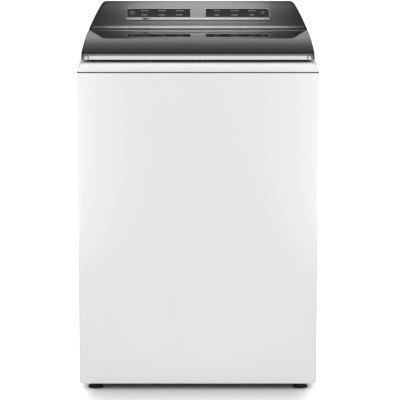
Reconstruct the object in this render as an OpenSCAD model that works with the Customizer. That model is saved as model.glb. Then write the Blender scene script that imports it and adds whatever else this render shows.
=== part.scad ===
// Top load washing machine: a steel cabinet with a moulded top, a glass lid,
// a sloped console, a hung tub with its basket and wash plate, and a belt drive.
// Origin: centre of the footprint on the floor. Front faces -Y, +Z is up.

/* [Cabinet] */
// Overall width of the cabinet
body_w = 692; // [670:1:720]
// Overall depth, from the front panel to the ends of the rear spigots
body_d = 710; // [700:1:740]
// Height of the cabinet's top edge above the floor
cabinet_top = 931; // [910:1:960]
// Height of the cabinet's bottom edge above the floor
cabinet_bottom = 20; // [19:1:24]
// Thickness of the cabinet's steel sheet
sheet = 1.2; // [0.8:0.1:1.6]
// Radius of the cabinet's vertical edges and bottom corners
corner_r = 7; // [5:0.5:10]
// Width of the flanges turned in round the cabinet's openings
flange_w = 20; // [16:1:24]
// How far the rear spigots stand out of the rear panel
spigot_out = 18; // [16:1:24]
// Thickness of the rear panel and of the console's rear cover
panel_t = 1; // [0.8:0.1:1.6]

/* [Top cover] */
// Gap between the cabinet's top edge and the top cover
seam_gap = 2.5; // [1.5:0.5:4]
// Height of the cover's deck above its bottom edge, at the front
cover_front_h = 21.5; // [20:0.5:28]
// Slope of the deck, in degrees
deck_slope = 3.6; // [2.5:0.1:4]
// Wall thickness of the top cover
cover_t = 2.5; // [2:0.1:4]
// Radius of the rounded edge along the cover's front
cover_edge_r = 16; // [12:1:18]
// Radius of the cover's long side shoulders
shoulder_r = 22; // [16:1:26]
// Width of the loading opening
opening_w = 470; // [420:1:490]
// Corner radius of the loading opening
opening_r = 110; // [60:1:140]
// Distance from the front panel to the loading opening
opening_front = 93; // [88:1:98]
// Distance from the loading opening to the lid's rear edge
opening_rear = 32.5; // [30:0.5:60]
// How far the opening's collar hangs below the cabinet's top edge
collar_drop = 35; // [25:1:40]

/* [Lid] */
// Half the width of the lid
lid_half_w = 335; // [320:1:338]
// Distance from the front panel to the lid's front face
lid_front_in = 27; // [22:1:32]
// Finger gap between the deck and the lid
finger_gap = 9.1; // [8:0.1:12]
// Height of the lid's front face
lid_front_h = 15.5; // [14:0.5:18]
// Crown radius of the lid glass, front to back
lid_crown_r = 3200; // [2900:50:4000]
// Rise of the lid's top from its front edge to its rear edge
lid_rise = 28.3; // [27:0.1:30]
// Thickness of the lid glass
glass_t = 4; // [3:0.5:5]
// Width of the frame round the lid's window
lid_rail_w = 45; // [36:1:52]
// Radius of the lid's hinge pins
hinge_pin_r = 2.5; // [2:0.1:2.6]
// Distance of the hinges from the centre line
hinge_x = 300; // [280:1:308]
// Furthest opening angle of the lid, which sizes its clearances
lid_open_deg = 92; // [85:1:92]

/* [Console] */
// Height of the console's top above the cabinet's top edge
console_rise = 152.8; // [144:0.1:164]
// Slope of the console's face, in degrees
console_slope = 20.2; // [19:0.1:21]
// Gap between the lid's rear edge and the console
console_gap = 3; // [2.5:0.1:4]
// Depth of the console, from its front edge to the rear panel
console_d = 209.5; // [205:0.5:215]
// Wall thickness of the console
console_t = 3; // [2.5:0.1:4]
// Radius of the rounding along the console's front edge
console_lip_r = 16; // [12:1:18]
// Radius of the rounding along the console's top rear edge
console_back_r = 12; // [9:1:14]
// Radius of the console's bowed side faces
console_side_r = 367; // [350:1:400]
// Radius of the console's top corners
console_corner_r = 22; // [16:1:26]
// Half the width of the display bezel
bezel_half_w = 223; // [205:1:240]
// Distance up the face from the console's front corner to the bezel
bezel_up = 67; // [60:1:72]
// Height of the bezel along the face
bezel_h = 89; // [84:1:96]
// Height of the silver band below the display windows
bezel_band = 19; // [15:1:22]
// Width of the bezel's rim above the windows and at their ends
bezel_rim = 3.5; // [2.5:0.5:6]
// Depth of the recess above the windows
bezel_brow = 8; // [6:1:10]
// Half the width of the silver block between the windows
bezel_block = 24; // [16:1:40]

/* [Tub and basket] */
// Outer radius of the tub
tub_r = 290; // [275:1:295]
// Wall thickness of the tub
tub_t = 3; // [2.5:0.5:4]
// Distance from the cabinet's top edge down to the tub's rim
tub_drop = 81; // [78:1:90]
// Space between the cabinet's bottom edge and the tub
drive_space = 242; // [236:1:250]
// Thickness of the tub's floor
tub_floor = 6; // [5:0.5:8]
// Clear opening radius of the ring on the tub's rim
ring_open_r = 232; // [222:1:238]
// Gap between the tub's wall and the basket's wall
basket_gap = 25; // [20:1:30]
// Thickness of the basket's steel
basket_t = 1.5; // [1:0.1:2]
// Radius of the basket's holes
basket_hole_r = 3.5; // [2.5:0.1:4.5]
// Rows of holes in the basket's wall
basket_rows = 6; // [4:1:7]
// Height of the balance ring
balance_h = 40; // [30:1:46]
// Width of the balance ring
balance_w = 34; // [28:1:38]
// Radius of the wash plate
wash_r = 226; // [205:1:235]
// Number of fins on the wash plate
wash_fins = 6; // [4:1:8]

/* [Suspension] */
// Distance of the hanger rods from the cabinet's outer faces
rod_inset = 54; // [50:1:58]
// Radius of the hanger rods
rod_r = 4; // [3.5:0.1:5]
// Free length of the suspension springs as fitted
spring_len = 150; // [140:1:160]
// Mean radius of the spring coils
spring_r = 16; // [14:0.5:18]
// Radius of the spring wire
spring_wire = 2; // [1.5:0.1:2.5]
// Turns in each spring
spring_turns = 6; // [5:1:8]

/* [Drive] */
// Radius of the drive pulley
pulley_r = 72; // [60:1:78]
// Radius of the motor pulley
motor_pulley_r = 20; // [16:1:24]
// Distance between the drive pulley's axis and the motor's axis
belt_centres = 160; // [154:1:170]
// Radius of the motor's housing
motor_r = 65; // [58:1:68]
// Radius of the clutch housing
clutch_r = 62; // [56:1:66]
// Outer radius of the spin tube
spin_tube_r = 20; // [18:0.5:21]
// Radius of the wash plate's drive shaft
drive_shaft_r = 12; // [10:0.5:13]
// Radius of the drain pump's body
pump_r = 40; // [36:1:44]

/* [Feet and connections] */
// Radius of the levelling feet's pads
foot_r = 22; // [18:1:26]
// Radius of the levelling feet's studs
foot_stud_r = 5; // [4:0.5:6]
// Outer radius of the water inlet spigots
inlet_r = 13.2; // [12:0.1:14]
// Outer radius of the drain spigot
drain_r = 15; // [13:0.5:18]
// Radius of the mains cord's inlet
cord_r = 4.5; // [3.5:0.1:5.5]

/* [Hidden] */
$fn = 72;

run_gap = 0.08;      // radial clearance of a running fit
seat_gap = 0.3;      // clearance between a moving piece and what it rests near
half_w = body_w / 2;
front_y = -body_d / 2;
rear_y = body_d / 2 - spigot_out;
cab_d = rear_y - front_y;
box_d = cab_d - panel_t;                 // the steel box, without its rear panel
axis_y = front_y + box_d / 2;            // the tub hangs at the middle of the box
in_x = half_w - sheet;
in_y = box_d / 2 - sheet;                // from the tub's axis to the walls

// Deck of the top cover
cover_z = cabinet_top + seam_gap;
function deck_z(y) = cover_z + cover_front_h + (y - front_y) * tan(deck_slope);

// Lid
lid_front_y = front_y + lid_front_in;
lid_rear_y = rear_y - console_d - console_gap;
lid_front_z = deck_z(lid_front_y) + finger_gap + lid_front_h;
lid_rear_z = lid_front_z + lid_rise;
lid_chord = norm([lid_rear_y - lid_front_y, lid_rise]);
lid_chord_a = atan2(lid_rise, lid_rear_y - lid_front_y);
lid_arc_h = sqrt(lid_crown_r * lid_crown_r - lid_chord * lid_chord / 4);
lid_cy = (lid_front_y + lid_rear_y) / 2 + lid_arc_h * sin(lid_chord_a);
lid_cz = (lid_front_z + lid_rear_z) / 2 - lid_arc_h * cos(lid_chord_a);
function crown_z(y) = lid_cz + sqrt(lid_crown_r * lid_crown_r - pow(y - lid_cy, 2));
lid_edge_r = 9.5;                        // half-round of the lid's rear edge
hinge_y = lid_rear_y - lid_edge_r;
hinge_z = crown_z(hinge_y) - lid_edge_r;
trim_t = 8;                              // front-to-back depth of the lid's front trim
trim_bevel = 5;                          // height of the trim's bevel
trim_half_w = lid_half_w - 6.5;
ear_w = 8;                               // hinge ear on the top cover
ear_eye_r = hinge_pin_r + 2.1;
cheek_t = 2;
notch_half = ear_w / 2 + 0.5 + cheek_t + 0.1;

// Console, in its side view
console_top = cabinet_top + console_rise;
console_y = rear_y - console_d;
back_cy = rear_y - console_back_r;
back_cz = console_top - console_back_r;
corner_z = back_cz + console_back_r * cos(console_slope)
    - (back_cy - console_back_r * sin(console_slope) - console_y) * tan(console_slope);
lip_cy = console_y + console_lip_r;
lip_cz = corner_z + console_lip_r * (tan(console_slope) - 1 / cos(console_slope));
// Console, in its front view
side_drop = 127.7;                       // from the lid's rear edge down to the bow's widest point
side_cz = lid_rear_z - side_drop;
side_cx = lid_half_w - sqrt(pow(console_side_r, 2) - pow(lid_rear_z - side_cz, 2));
top_cz = console_top - console_corner_r;
top_cx = side_cx + sqrt(pow(console_side_r - console_corner_r, 2) - pow(top_cz - side_cz, 2));
// Display, in the face's own frame: x to the right, y up the face, z out of it
bezel_t = 2.5;
bezel_sunk = 1.5;
window_low = bezel_up + bezel_band;
window_high = bezel_up + bezel_h - bezel_brow - bezel_rim;
window_end = bezel_half_w - bezel_rim;
board_n = -14;
function face_y(u, n) = console_y + u * cos(console_slope) - n * sin(console_slope);
function face_z(u, n) = corner_z + u * sin(console_slope) + n * cos(console_slope);

// Tub, basket and drive, upward from the tub's underside
tub_z = cabinet_bottom + drive_space;
tub_top = cabinet_top - tub_drop;
ring_h = 22;
basket_r = tub_r - tub_t - basket_gap;
basket_z = tub_z + tub_floor + 24;
basket_top = tub_top - 6;
hub_z = basket_z - 14;
boss_r = 48;
bracket_t = 4;
bracket_z = tub_z - 26;                  // underside of the steel drive bracket
bearing_h = 14;
bearing_r = spin_tube_r + 11;
clutch_h = 84;
clutch_z = bracket_z - clutch_h;
belt_w = 12;
belt_t = 3;
pulley_h = 20;
pulley_z = clutch_z - 4 - pulley_h;
motor_h = clutch_h;
motor_x = belt_centres;
motor_shaft_r = 7;
sump_xy = [-125, -125];
sump_r = 20;
pump_h = 66;
pump_z = tub_z - 142;                    // underside of the pump
wash_z = basket_z + 8;

// Suspension
rod_x = half_w - rod_inset;
rod_y = box_d / 2 - rod_inset;
rod_a = atan2(rod_y, rod_x);
rod_d = norm([rod_x, rod_y]);
corner_leg = 140;
plate_z = cabinet_top - 34;              // top bracket's plate
plate_t = 3;
head_r = 9;
plate_hole_r = rod_r + 2;
lug_z = tub_z + 138;
lug_t = 12;
cup_h = 12;
cap_h = 12;
spring_top = lug_z - cup_h - seat_gap;
spring_bottom = spring_top - spring_len;
cap_z = spring_bottom - seat_gap - cap_h;

// Feet
rail_d = 60;
rail_t = 3;
rail_z = cabinet_bottom + sheet;
foot_x = half_w - 46;
foot_front_y = front_y + 42;
foot_rear_y = rear_y - 42;
pad_h = 11;
nut_h = 7;

// Connections on the rear panel
inlet_x = [-178, -118];
inlet_z = cabinet_top - 42;
drain_x = -half_w + 96;
drain_z = tub_z - 12;
cord_x = half_w - 176;
cord_z = cabinet_top - 46;
screw_r = 2.2;
head_t = 3;
rear_screw_z = [cabinet_bottom + 60, cabinet_bottom + 330, cabinet_top - 330, cabinet_top - 80];

// Detergent dispenser, behind the loading opening
opening_low_y = front_y + opening_front;
opening_d = lid_rear_y - opening_rear - opening_low_y;
opening_y = opening_low_y + opening_d / 2;
drawer_x = -80;
drawer_w = 120;
drawer_h = 38;
drawer_z = cabinet_top - 16;
drawer_y = opening_y + opening_d / 2;
drawer_l = rear_y - drawer_y - 135;      // leaves room for the hoses behind it
drawer_gap = 0.8;
housing_t = 2.5;

// Lid lock, under the front of the deck
lock_y = front_y + 56;
strike_w = 14;
strike_t = 3;
strike_z = cabinet_top + 10;

// ---- shared shapes ----

// Rectangle centred on the origin, with round corners
module rrect(w, d, r) {
    square([w - 2 * r, d], center = true);
    square([w, d - 2 * r], center = true);
    for (sx = [-1, 1], sy = [-1, 1])
        translate([sx * (w / 2 - r), sy * (d / 2 - r)])
            circle(r);
}

// Rectangle with its own radius at each corner: lower left, lower right, upper right, upper left
module corner_rect(x0, x1, y0, y1, r) {
    polygon([
        [x0 + r[0], y0], [x1 - r[1], y0], [x1 - r[1], y0 + r[1]], [x1, y0 + r[1]],
        [x1, y1 - r[2]], [x1 - r[2], y1 - r[2]], [x1 - r[2], y1], [x0 + r[3], y1],
        [x0 + r[3], y1 - r[3]], [x0, y1 - r[3]], [x0, y0 + r[0]], [x0 + r[0], y0 + r[0]]
    ]);
    translate([x0 + r[0], y0 + r[0]]) circle(r[0]);
    translate([x1 - r[1], y0 + r[1]]) circle(r[1]);
    translate([x1 - r[2], y1 - r[2]]) circle(r[2]);
    translate([x0 + r[3], y1 - r[3]]) circle(r[3]);
}

// Outline of a belt round two circles that lie along x
module round_pair(r1, r2, distance) {
    hull() {
        circle(r1);
        translate([distance, 0]) circle(r2);
    }
}

// Extrudes a side view (y, z) over a width w centred on x = 0
module extrude_x(w) {
    translate([-w / 2, 0, 0]) rotate([90, 0, 90]) linear_extrude(w) children();
}

// Extrudes a front view (x, z) from y0 to y1
module extrude_y(y0, y1) {
    translate([0, y1, 0]) rotate([90, 0, 0]) linear_extrude(y1 - y0) children();
}

module ring(r_out, r_in, h) {
    difference() {
        cylinder(r = r_out, h = h);
        translate([0, 0, -1]) cylinder(r = r_in, h = h + 2);
    }
}

// Cylinder from one point to another, with a ball at its far end if it goes round a bend there
module rod_between(p, q, r, ball_r = 0) {
    v = q - p;
    translate(p)
        rotate([0, acos(v[2] / norm(v)), atan2(v[1], v[0])]) {
            cylinder(r = r, h = norm(v));
            if (ball_r > 0)
                translate([0, 0, norm(v)]) sphere(ball_r);
        }
}

// Solid hose along a route
module route(points, r) {
    last = len(points) - 2;
    for (i = [0:last])
        rod_between(points[i], points[i + 1], r, i < last ? 1.02 * r : 0);
}

// Round bar along y with a bore right through it
module spigot(y0, y1, r_out, r_in) {
    translate([0, y0, 0]) rotate([-90, 0, 0]) ring(r_out, r_in, y1 - y0);
}

module at_axis() {
    translate([0, axis_y, 0]) children();
}

// The four corners of the cabinet, seen from the tub's axis
module at_corners() {
    for (mx = [0, 1], my = [0, 1])
        at_axis() mirror([mx, 0, 0]) mirror([0, my, 0]) children();
}

module at_rods() {
    at_corners() translate([rod_x, rod_y, 0]) children();
}

// Turns a child made on the deck's slope, at a point of the deck
module on_deck(x, y) {
    translate([x, y, deck_z(y)]) rotate([deck_slope, 0, 0]) children();
}

module on_face() {
    translate([0, console_y, corner_z]) rotate([console_slope, 0, 0]) children();
}

module hex_head(r, h) {
    cylinder(r = r, h = h, $fn = 6);
}

// ---- cabinet ----

module cabinet_block(inset) {
    tall = 2 * cabinet_top;
    intersection() {
        at_axis()
            linear_extrude(cabinet_top - inset)
                rrect(body_w - 2 * inset, box_d - 2 * inset, corner_r - inset);
        extrude_y(front_y, rear_y)
            translate([0, cabinet_bottom + inset + tall / 2])
                rrect(body_w - 2 * inset, tall, corner_r - inset);
    }
}

module cabinet_shell() {
    color("white")
    difference() {
        cabinet_block(0);
        cabinet_block(sheet);
        for (z = [cabinet_bottom, cabinet_top - sheet])
            at_axis()
                translate([0, 0, z - 1])
                    linear_extrude(sheet + 2)
                        rrect(body_w - 2 * flange_w, box_d - 2 * flange_w, corner_r);
        extrude_y(rear_y - panel_t - 2 * sheet, rear_y)
            translate([0, (cabinet_top + cabinet_bottom) / 2])
                square([body_w - 2 * flange_w, cabinet_top - cabinet_bottom - 2 * flange_w], center = true);
        rear_screw_holes();
    }
}

module at_rear_screws() {
    for (sx = [-1, 1], z = rear_screw_z)
        translate([sx * (half_w - flange_w / 2), rear_y, z])
            rotate([90, 0, 0]) children();
}

module rear_screw_holes() {
    at_rear_screws()
        translate([0, 0, -1]) cylinder(r = screw_r + 0.1, h = panel_t + sheet + 2);
}

module rear_panel() {
    bead_r = 9;
    bead_h = 4;
    color("gainsboro")
    difference() {
        union() {
            extrude_y(rear_y - panel_t, rear_y)
                translate([0, (cabinet_top + cabinet_bottom) / 2])
                    rrect(body_w - 6, cabinet_top - cabinet_bottom - 4, 5);
            for (z = [0.4, 0.6] * cabinet_top)
                translate([-half_w + 90, rear_y + bead_h - bead_r, z])
                    rotate([0, 90, 0]) cylinder(r = bead_r, h = body_w - 180);
        }
        for (z = [0.4, 0.6] * cabinet_top)
            translate([-half_w + 90 + panel_t, rear_y + bead_h - bead_r, z])
                rotate([0, 90, 0]) cylinder(r = bead_r - panel_t, h = body_w - 180 - 2 * panel_t);
        translate([-half_w, rear_y - panel_t - 20, cabinet_bottom])
            cube([body_w, 20, cabinet_top]);
        rear_screw_holes();
        for (x = inlet_x)
            translate([x, 0, inlet_z]) spigot_hole(inlet_r);
        translate([drain_x, 0, drain_z]) spigot_hole(drain_r);
        translate([cord_x, 0, cord_z]) spigot_hole(cord_r + 4);
    }
}

module spigot_hole(r) {
    translate([0, rear_y - 5, 0]) rotate([-90, 0, 0]) cylinder(r = r + 0.3, h = 10);
}

module rear_screws() {
    color("silver")
    at_rear_screws() {
        cylinder(r = screw_r, h = panel_t + sheet + 6);
        translate([0, 0, -head_t]) hex_head(5, head_t);
    }
}

// Steel corner plate that a hanger rod hangs from, with two legs down the walls
module corner_brackets() {
    leg_h = 30;
    color("lightsteelblue")
    at_corners()
    difference() {
        union() {
            translate([0, 0, plate_z])
                linear_extrude(plate_t)
                    polygon([
                        [in_x - corner_r, in_y], [in_x - corner_leg, in_y],
                        [in_x, in_y - corner_leg], [in_x, in_y - corner_r]
                    ]);
            translate([in_x - plate_t, in_y - corner_leg, plate_z - leg_h])
                cube([plate_t, corner_leg - corner_r, leg_h + plate_t]);
            translate([in_x - corner_leg, in_y - plate_t, plate_z - leg_h])
                cube([corner_leg - corner_r, plate_t, leg_h + plate_t]);
        }
        translate([rod_x, rod_y, plate_z - 1]) cylinder(r = plate_hole_r, h = plate_t + 2);
    }
}

// Front and rear braces across the bottom, with the feet's threaded bosses
module base_rails() {
    color("lightsteelblue")
    for (front = [0, 1])
        at_axis() mirror([0, front, 0])
            difference() {
                union() {
                    translate([-in_x + corner_r, in_y - rail_d, rail_z])
                        cube([2 * (in_x - corner_r), rail_d, rail_t]);
                    translate([-in_x + corner_r, in_y - rail_d, rail_z])
                        cube([2 * (in_x - corner_r), rail_t, 25]);
                    for (sx = [-1, 1])
                        translate([sx * foot_x, foot_rear_y - axis_y, rail_z])
                            cylinder(r = foot_stud_r + 6, h = 14);
                }
                for (sx = [-1, 1])
                    translate([sx * foot_x, foot_rear_y - axis_y, rail_z - 1])
                        cylinder(r = foot_stud_r + run_gap, h = 20);
            }
}

// Levelling foot: a rubber pad moulded on a threaded stud
module foot(x, y) {
    color("dimgray")
    translate([x, y, 0]) {
        cylinder(r = foot_r, h = 4);
        translate([0, 0, 4]) cylinder(r1 = foot_r, r2 = foot_r - 6, h = pad_h - 4);
        cylinder(r = foot_stud_r, h = rail_z + 34);
    }
}

foot_low_y = 2 * axis_y - foot_rear_y;
module foot_front_left() { foot(-foot_x, foot_low_y); }
module foot_front_right() { foot(foot_x, foot_low_y); }
module foot_rear_left() { foot(-foot_x, foot_rear_y); }
module foot_rear_right() { foot(foot_x, foot_rear_y); }

module foot_lock_nuts() {
    color("silver")
    for (sx = [-1, 1], y = [foot_low_y, foot_rear_y])
        translate([sx * foot_x, y, rail_z - nut_h])
            difference() {
                hex_head(foot_stud_r + 5, nut_h);
                translate([0, 0, -1]) cylinder(r = foot_stud_r + run_gap, h = nut_h + 2);
            }
}

// ---- top cover ----

module cover_side_view(t) {
    c = cos(deck_slope);
    r = cover_edge_r - t;
    cy = front_y + cover_edge_r;
    cz = deck_z(cy) - cover_edge_r / c;
    low = cover_z - (t > 0 ? 1 : 0);
    intersection() {
        union() {
            polygon([
                [front_y + t, low], [front_y + t, cz], [cy, cz],
                [cy - r * sin(deck_slope), cz + r * c],
                [rear_y - t, deck_z(rear_y - t) - t / c], [rear_y - t, low]
            ]);
            translate([cy, cz]) circle(r);
        }
        translate([front_y, low]) square([cab_d, 200]);
    }
}

module cover_block(t) {
    rise = cab_d * tan(deck_slope);
    intersection() {
        extrude_x(body_w + 2) cover_side_view(t);
        translate([0, front_y + cab_d / 2, 0])
            linear_extrude(console_top)
                rrect(body_w - 2 * t, cab_d - 2 * t, corner_r + 2 - t);
        translate([0, front_y, deck_z(front_y)])
            rotate([deck_slope, 0, 0])
                translate([0, 0, -shoulder_r - 100])
                    extrude_y(-50, cab_d + 50)
                        shoulder_view(t);
    }
}

// Front view of the deck with its two round shoulders, top edge at 100 + shoulder_r
module shoulder_view(t) {
    top = 100 + shoulder_r - t;
    r = shoulder_r - t;
    for (sx = [-1, 1])
        translate([sx * (half_w - shoulder_r), 100]) circle(r);
    translate([-(half_w - shoulder_r), -100]) square([2 * (half_w - shoulder_r), top + 100]);
    translate([-(half_w - t), -100]) square([2 * (half_w - t), 200]);
}

module opening_outline(grow) {
    translate([0, opening_y])
        rrect(opening_w + 2 * grow, opening_d + 2 * grow, opening_r + grow);
}

module top_cover() {
    collar_z = cabinet_top - collar_drop;
    color("white")
    difference() {
        union() {
            difference() {
                cover_block(0);
                cover_block(cover_t);
            }
            intersection() {
                union() {
                    // collar of the loading opening
                    translate([0, 0, collar_z]) linear_extrude(200) opening_outline(cover_t);
                    // ribs that rest on the cabinet's top flange
                    for (sx = [-1, 1], y = [front_y + 120, axis_y, rear_y - 120])
                        translate([sx * (half_w - flange_w / 2) - 4, y - 25, cabinet_top])
                            cube([8, 50, 100]);
                }
                union() {
                    cover_block(0);
                    translate([-half_w, front_y, 0]) cube([body_w, cab_d, cover_z + 1]);
                }
            }
            hinge_ears();
        }
        translate([0, 0, collar_z - 1]) linear_extrude(300) opening_outline(0);
        // mouth of the dispenser
        translate([drawer_x - drawer_w / 2 - drawer_gap, drawer_y - 60, drawer_z - drawer_gap])
            cube([drawer_w + 2 * drawer_gap, 70, drawer_h + 2 * drawer_gap]);
        // slot for the lid's strike
        translate([-strike_w / 2 - 3, lock_y - 9, cabinet_top])
            cube([strike_w + 6, 15, 100]);
        // way for the wiring into the console
        translate([cord_x, harness_y, cabinet_top]) cylinder(r = 14, h = 120);
        for (sx = [-1, 1])
            translate([sx * hinge_x, hinge_y, hinge_z])
                rotate([0, 90, 0])
                    cylinder(r = hinge_pin_r + run_gap, h = 2 * ear_w, center = true);
    }
}

module hinge_ears() {
    low = deck_z(hinge_y) - 2;
    for (sx = [-1, 1])
        translate([sx * hinge_x, hinge_y, 0]) {
            translate([-ear_w / 2, 0, hinge_z]) rotate([0, 90, 0]) cylinder(r = ear_eye_r, h = ear_w);
            translate([-ear_w / 2, -ear_eye_r + 0.6, low])
                cube([ear_w, 2 * ear_eye_r - 1.2, hinge_z - low]);
        }
}

// ---- lid lock ----

lock_w = 84;
lock_d = 34;
lock_h = 28;
bolt_r = 4;
bolt_z = strike_z + 7;
lock_top = deck_z(lock_y - lock_d / 2) - cover_t / cos(deck_slope);

module lid_lock_housing() {
    low = lock_top - lock_h;
    color("dimgray")
    difference() {
        translate([-lock_w / 2, lock_y - lock_d / 2, low]) cube([lock_w, lock_d, lock_h]);
        translate([-strike_w / 2 - 3, lock_y - 9, low - 1]) cube([strike_w + 6, 15, lock_h + 2]);
        translate([strike_w / 2 + 3 - 1, lock_y, bolt_z])
            rotate([0, 90, 0]) cylinder(r = bolt_r + run_gap, h = lock_w / 2 - strike_w / 2 - 6);
    }
}

module lid_lock_bolt() {
    color("silver")
    translate([strike_w / 2 + 3.4, lock_y, bolt_z])
        rotate([0, 90, 0]) cylinder(r = bolt_r, h = 18);
}

// ---- detergent dispenser ----

module dispenser_housing() {
    x0 = drawer_x - drawer_w / 2 - drawer_gap - housing_t;
    y0 = drawer_y + cover_t;
    w = drawer_w + 2 * (drawer_gap + housing_t);
    l = drawer_l + housing_t + 6;
    z0 = drawer_z - drawer_gap - housing_t;
    h = drawer_h + 2 * (drawer_gap + housing_t);
    color("whitesmoke")
    difference() {
        union() {
            translate([x0, y0, z0]) cube([w, l, h]);
            // hangers up to the deck
            for (x = [x0, x0 + w - 12])
                intersection() {
                    translate([x, y0 + 20, z0 + h - 1]) cube([12, l - 40, 60]);
                    cover_block(cover_t);
                }
            for (x = nipple_x)
                translate([x, y0 + l, nipple_z]) rotate([-90, 0, 0]) cylinder(r = 6, h = 10);
        }
        translate([x0 + housing_t, y0 - 1, z0 + housing_t])
            cube([w - 2 * housing_t, l - housing_t + 1, h - 2 * housing_t]);
        // drain slot down to the tub
        translate([x0 + 20, y0 + 10, z0 - 1]) cube([w - 40, 14, housing_t + 2]);
        for (x = nipple_x)
            translate([x, y0 + l - housing_t - 1, nipple_z]) rotate([-90, 0, 0]) cylinder(r = 4, h = 20);
    }
}

nipple_x = [drawer_x - 40, drawer_x + 40];
nipple_z = drawer_z + drawer_h - 12;

module dispenser_drawer() {
    wall = 2;
    color("lightgray")
    translate([drawer_x - drawer_w / 2, drawer_y, drawer_z])
        difference() {
            union() {
                cube([drawer_w, drawer_l, drawer_h - 3]);
                cube([drawer_w, 3, drawer_h]);
            }
            translate([wall, 5, wall]) cube([drawer_w / 2 - 1.5 * wall, drawer_l - 5 - wall, drawer_h]);
            translate([drawer_w / 2 + wall / 2, 5, wall])
                cube([drawer_w / 2 - 1.5 * wall, drawer_l - 5 - wall, drawer_h]);
            // finger scoop in the front
            translate([drawer_w / 2, -2, 0]) cylinder(r = 16, h = 2 * (drawer_h - 20), center = true);
        }
}

// ---- console ----

module console_side_view(t) {
    a = console_slope;
    rl = console_lip_r - t;
    rb = console_back_r - t;
    drop = t > 0 ? 4 : 0;
    front = console_y + t;
    back = rear_y - t;
    lip = [lip_cy - rl * sin(a), lip_cz + rl * cos(a)];
    ridge = [back_cy - rb * sin(a), back_cz + rb * cos(a)];
    front_corner = [front, lip[1] + (front - lip[0]) * tan(a)];
    back_corner = [back, ridge[1] + (back - ridge[0]) * tan(a)];
    difference() {
        polygon([[front, deck_z(front) - drop], front_corner, back_corner, [back, deck_z(back) - drop]]);
        difference() {
            polygon([
                [front - 5, lip_cz], front_corner + [-5, 5], lip + 5 * [-sin(a), cos(a)],
                lip, [lip_cy, lip_cz]
            ]);
            translate([lip_cy, lip_cz]) circle(rl);
        }
        difference() {
            polygon([
                ridge, ridge + 5 * [-sin(a), cos(a)], back_corner + [5, 5],
                [back + 5, back_cz], [back_cy, back_cz]
            ]);
            translate([back_cy, back_cz]) circle(rb);
        }
    }
}

// Right half of the console's front view: the bowed side, then the round top corner
function console_edge(t) =
    let (
        low_a = asin((lid_rear_z - side_cz) / console_side_r),
        top_a = atan2(top_cz - side_cz, top_cx - side_cx),
        r = console_side_r - t,
        rc = console_corner_r - t,
        low_x = side_cx + r * cos(low_a)
    )
    concat(
        [[low_x, cabinet_top]],
        [
            for (i = [0:12])
                let (a = low_a + (top_a - low_a) * i / 12)
                [side_cx + r * cos(a), side_cz + r * sin(a)]
        ],
        [
            for (i = [1:8])
                let (a = top_a + (90 - top_a) * i / 8)
                [top_cx + rc * cos(a), top_cz + rc * sin(a)]
        ]
    );

module console_front_view(t) {
    edge = console_edge(t);
    polygon(concat(edge, [for (i = [len(edge) - 1:-1:0]) [-edge[i][0], edge[i][1]]]));
}

module console_block(t) {
    intersection() {
        extrude_x(3 * lid_half_w) console_side_view(t);
        extrude_y(front_y, rear_y + 1) console_front_view(t);
    }
}

module bezel_outline(grow) {
    corner_rect(-bezel_half_w - grow, bezel_half_w + grow,
        bezel_up - grow, bezel_up + bezel_h - bezel_brow + grow,
        [3, 3, 14, 7]);
}

module window_outline(side, shrink) {
    inner = bezel_block + shrink;
    outer = window_end - shrink;
    low = window_low + shrink;
    high = window_high - shrink;
    if (side < 0)
        corner_rect(-outer, -inner, low, high, [1, 1, 1, 4]);
    else
        corner_rect(inner, outer, low, high, [1, 1, 11, 1]);
}

module console_fascia() {
    color("dimgray")
    difference() {
        console_block(0);
        console_block(console_t);
        on_face() {
            translate([0, 0, -bezel_sunk]) linear_extrude(20) bezel_outline(0.2);
            translate([-window_end + 4, window_low + 2, -20])
                cube([2 * (window_end - 4), window_high - window_low - 4, 40]);
        }
        extrude_y(rear_y - 2 * console_t, rear_y + 1)
            translate([0, (cover_top + back_cz) / 2])
                square([2 * cover_half_x, back_cz - cover_top - 6], center = true);
    }
}

cover_half_x = lid_half_w - 60;
cover_top = deck_z(rear_y) + 6;

module at_cover_screws() {
    for (x = [-1, -0.35, 0.35, 1] * (cover_half_x + 8))
        translate([x, rear_y - console_t, cover_top + 2]) rotate([90, 0, 0]) children();
}

// Sheet cover that closes the console's back from inside
module console_rear_cover() {
    color("lightsteelblue")
    difference() {
        extrude_y(rear_y - console_t - panel_t, rear_y - console_t)
            polygon([
                [-cover_half_x - 16, cover_top - 3], [cover_half_x + 16, cover_top - 3],
                [cover_half_x + 16, back_cz - 22], [cover_half_x, back_cz - 0.5],
                [-cover_half_x, back_cz - 0.5], [-cover_half_x - 16, back_cz - 22]
            ]);
        for (i = [-8:8])
            translate([i * 26, rear_y, (cover_top + back_cz) / 2])
                rotate([90, 0, 0]) linear_extrude(20) rrect(8, 30, 3.9);
    }
}

module display_bezel() {
    color("silver")
    on_face()
        difference() {
            translate([0, 0, -bezel_sunk]) linear_extrude(bezel_t) bezel_outline(0);
            translate([0, 0, -5]) linear_extrude(10) {
                window_outline(-1, 0);
                window_outline(1, 0);
            }
        }
}

module display_windows() {
    color("black")
    on_face()
        translate([0, 0, -bezel_sunk])
            linear_extrude(bezel_t - 0.4) {
                window_outline(-1, 0.2);
                window_outline(1, 0.2);
            }
}

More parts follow.
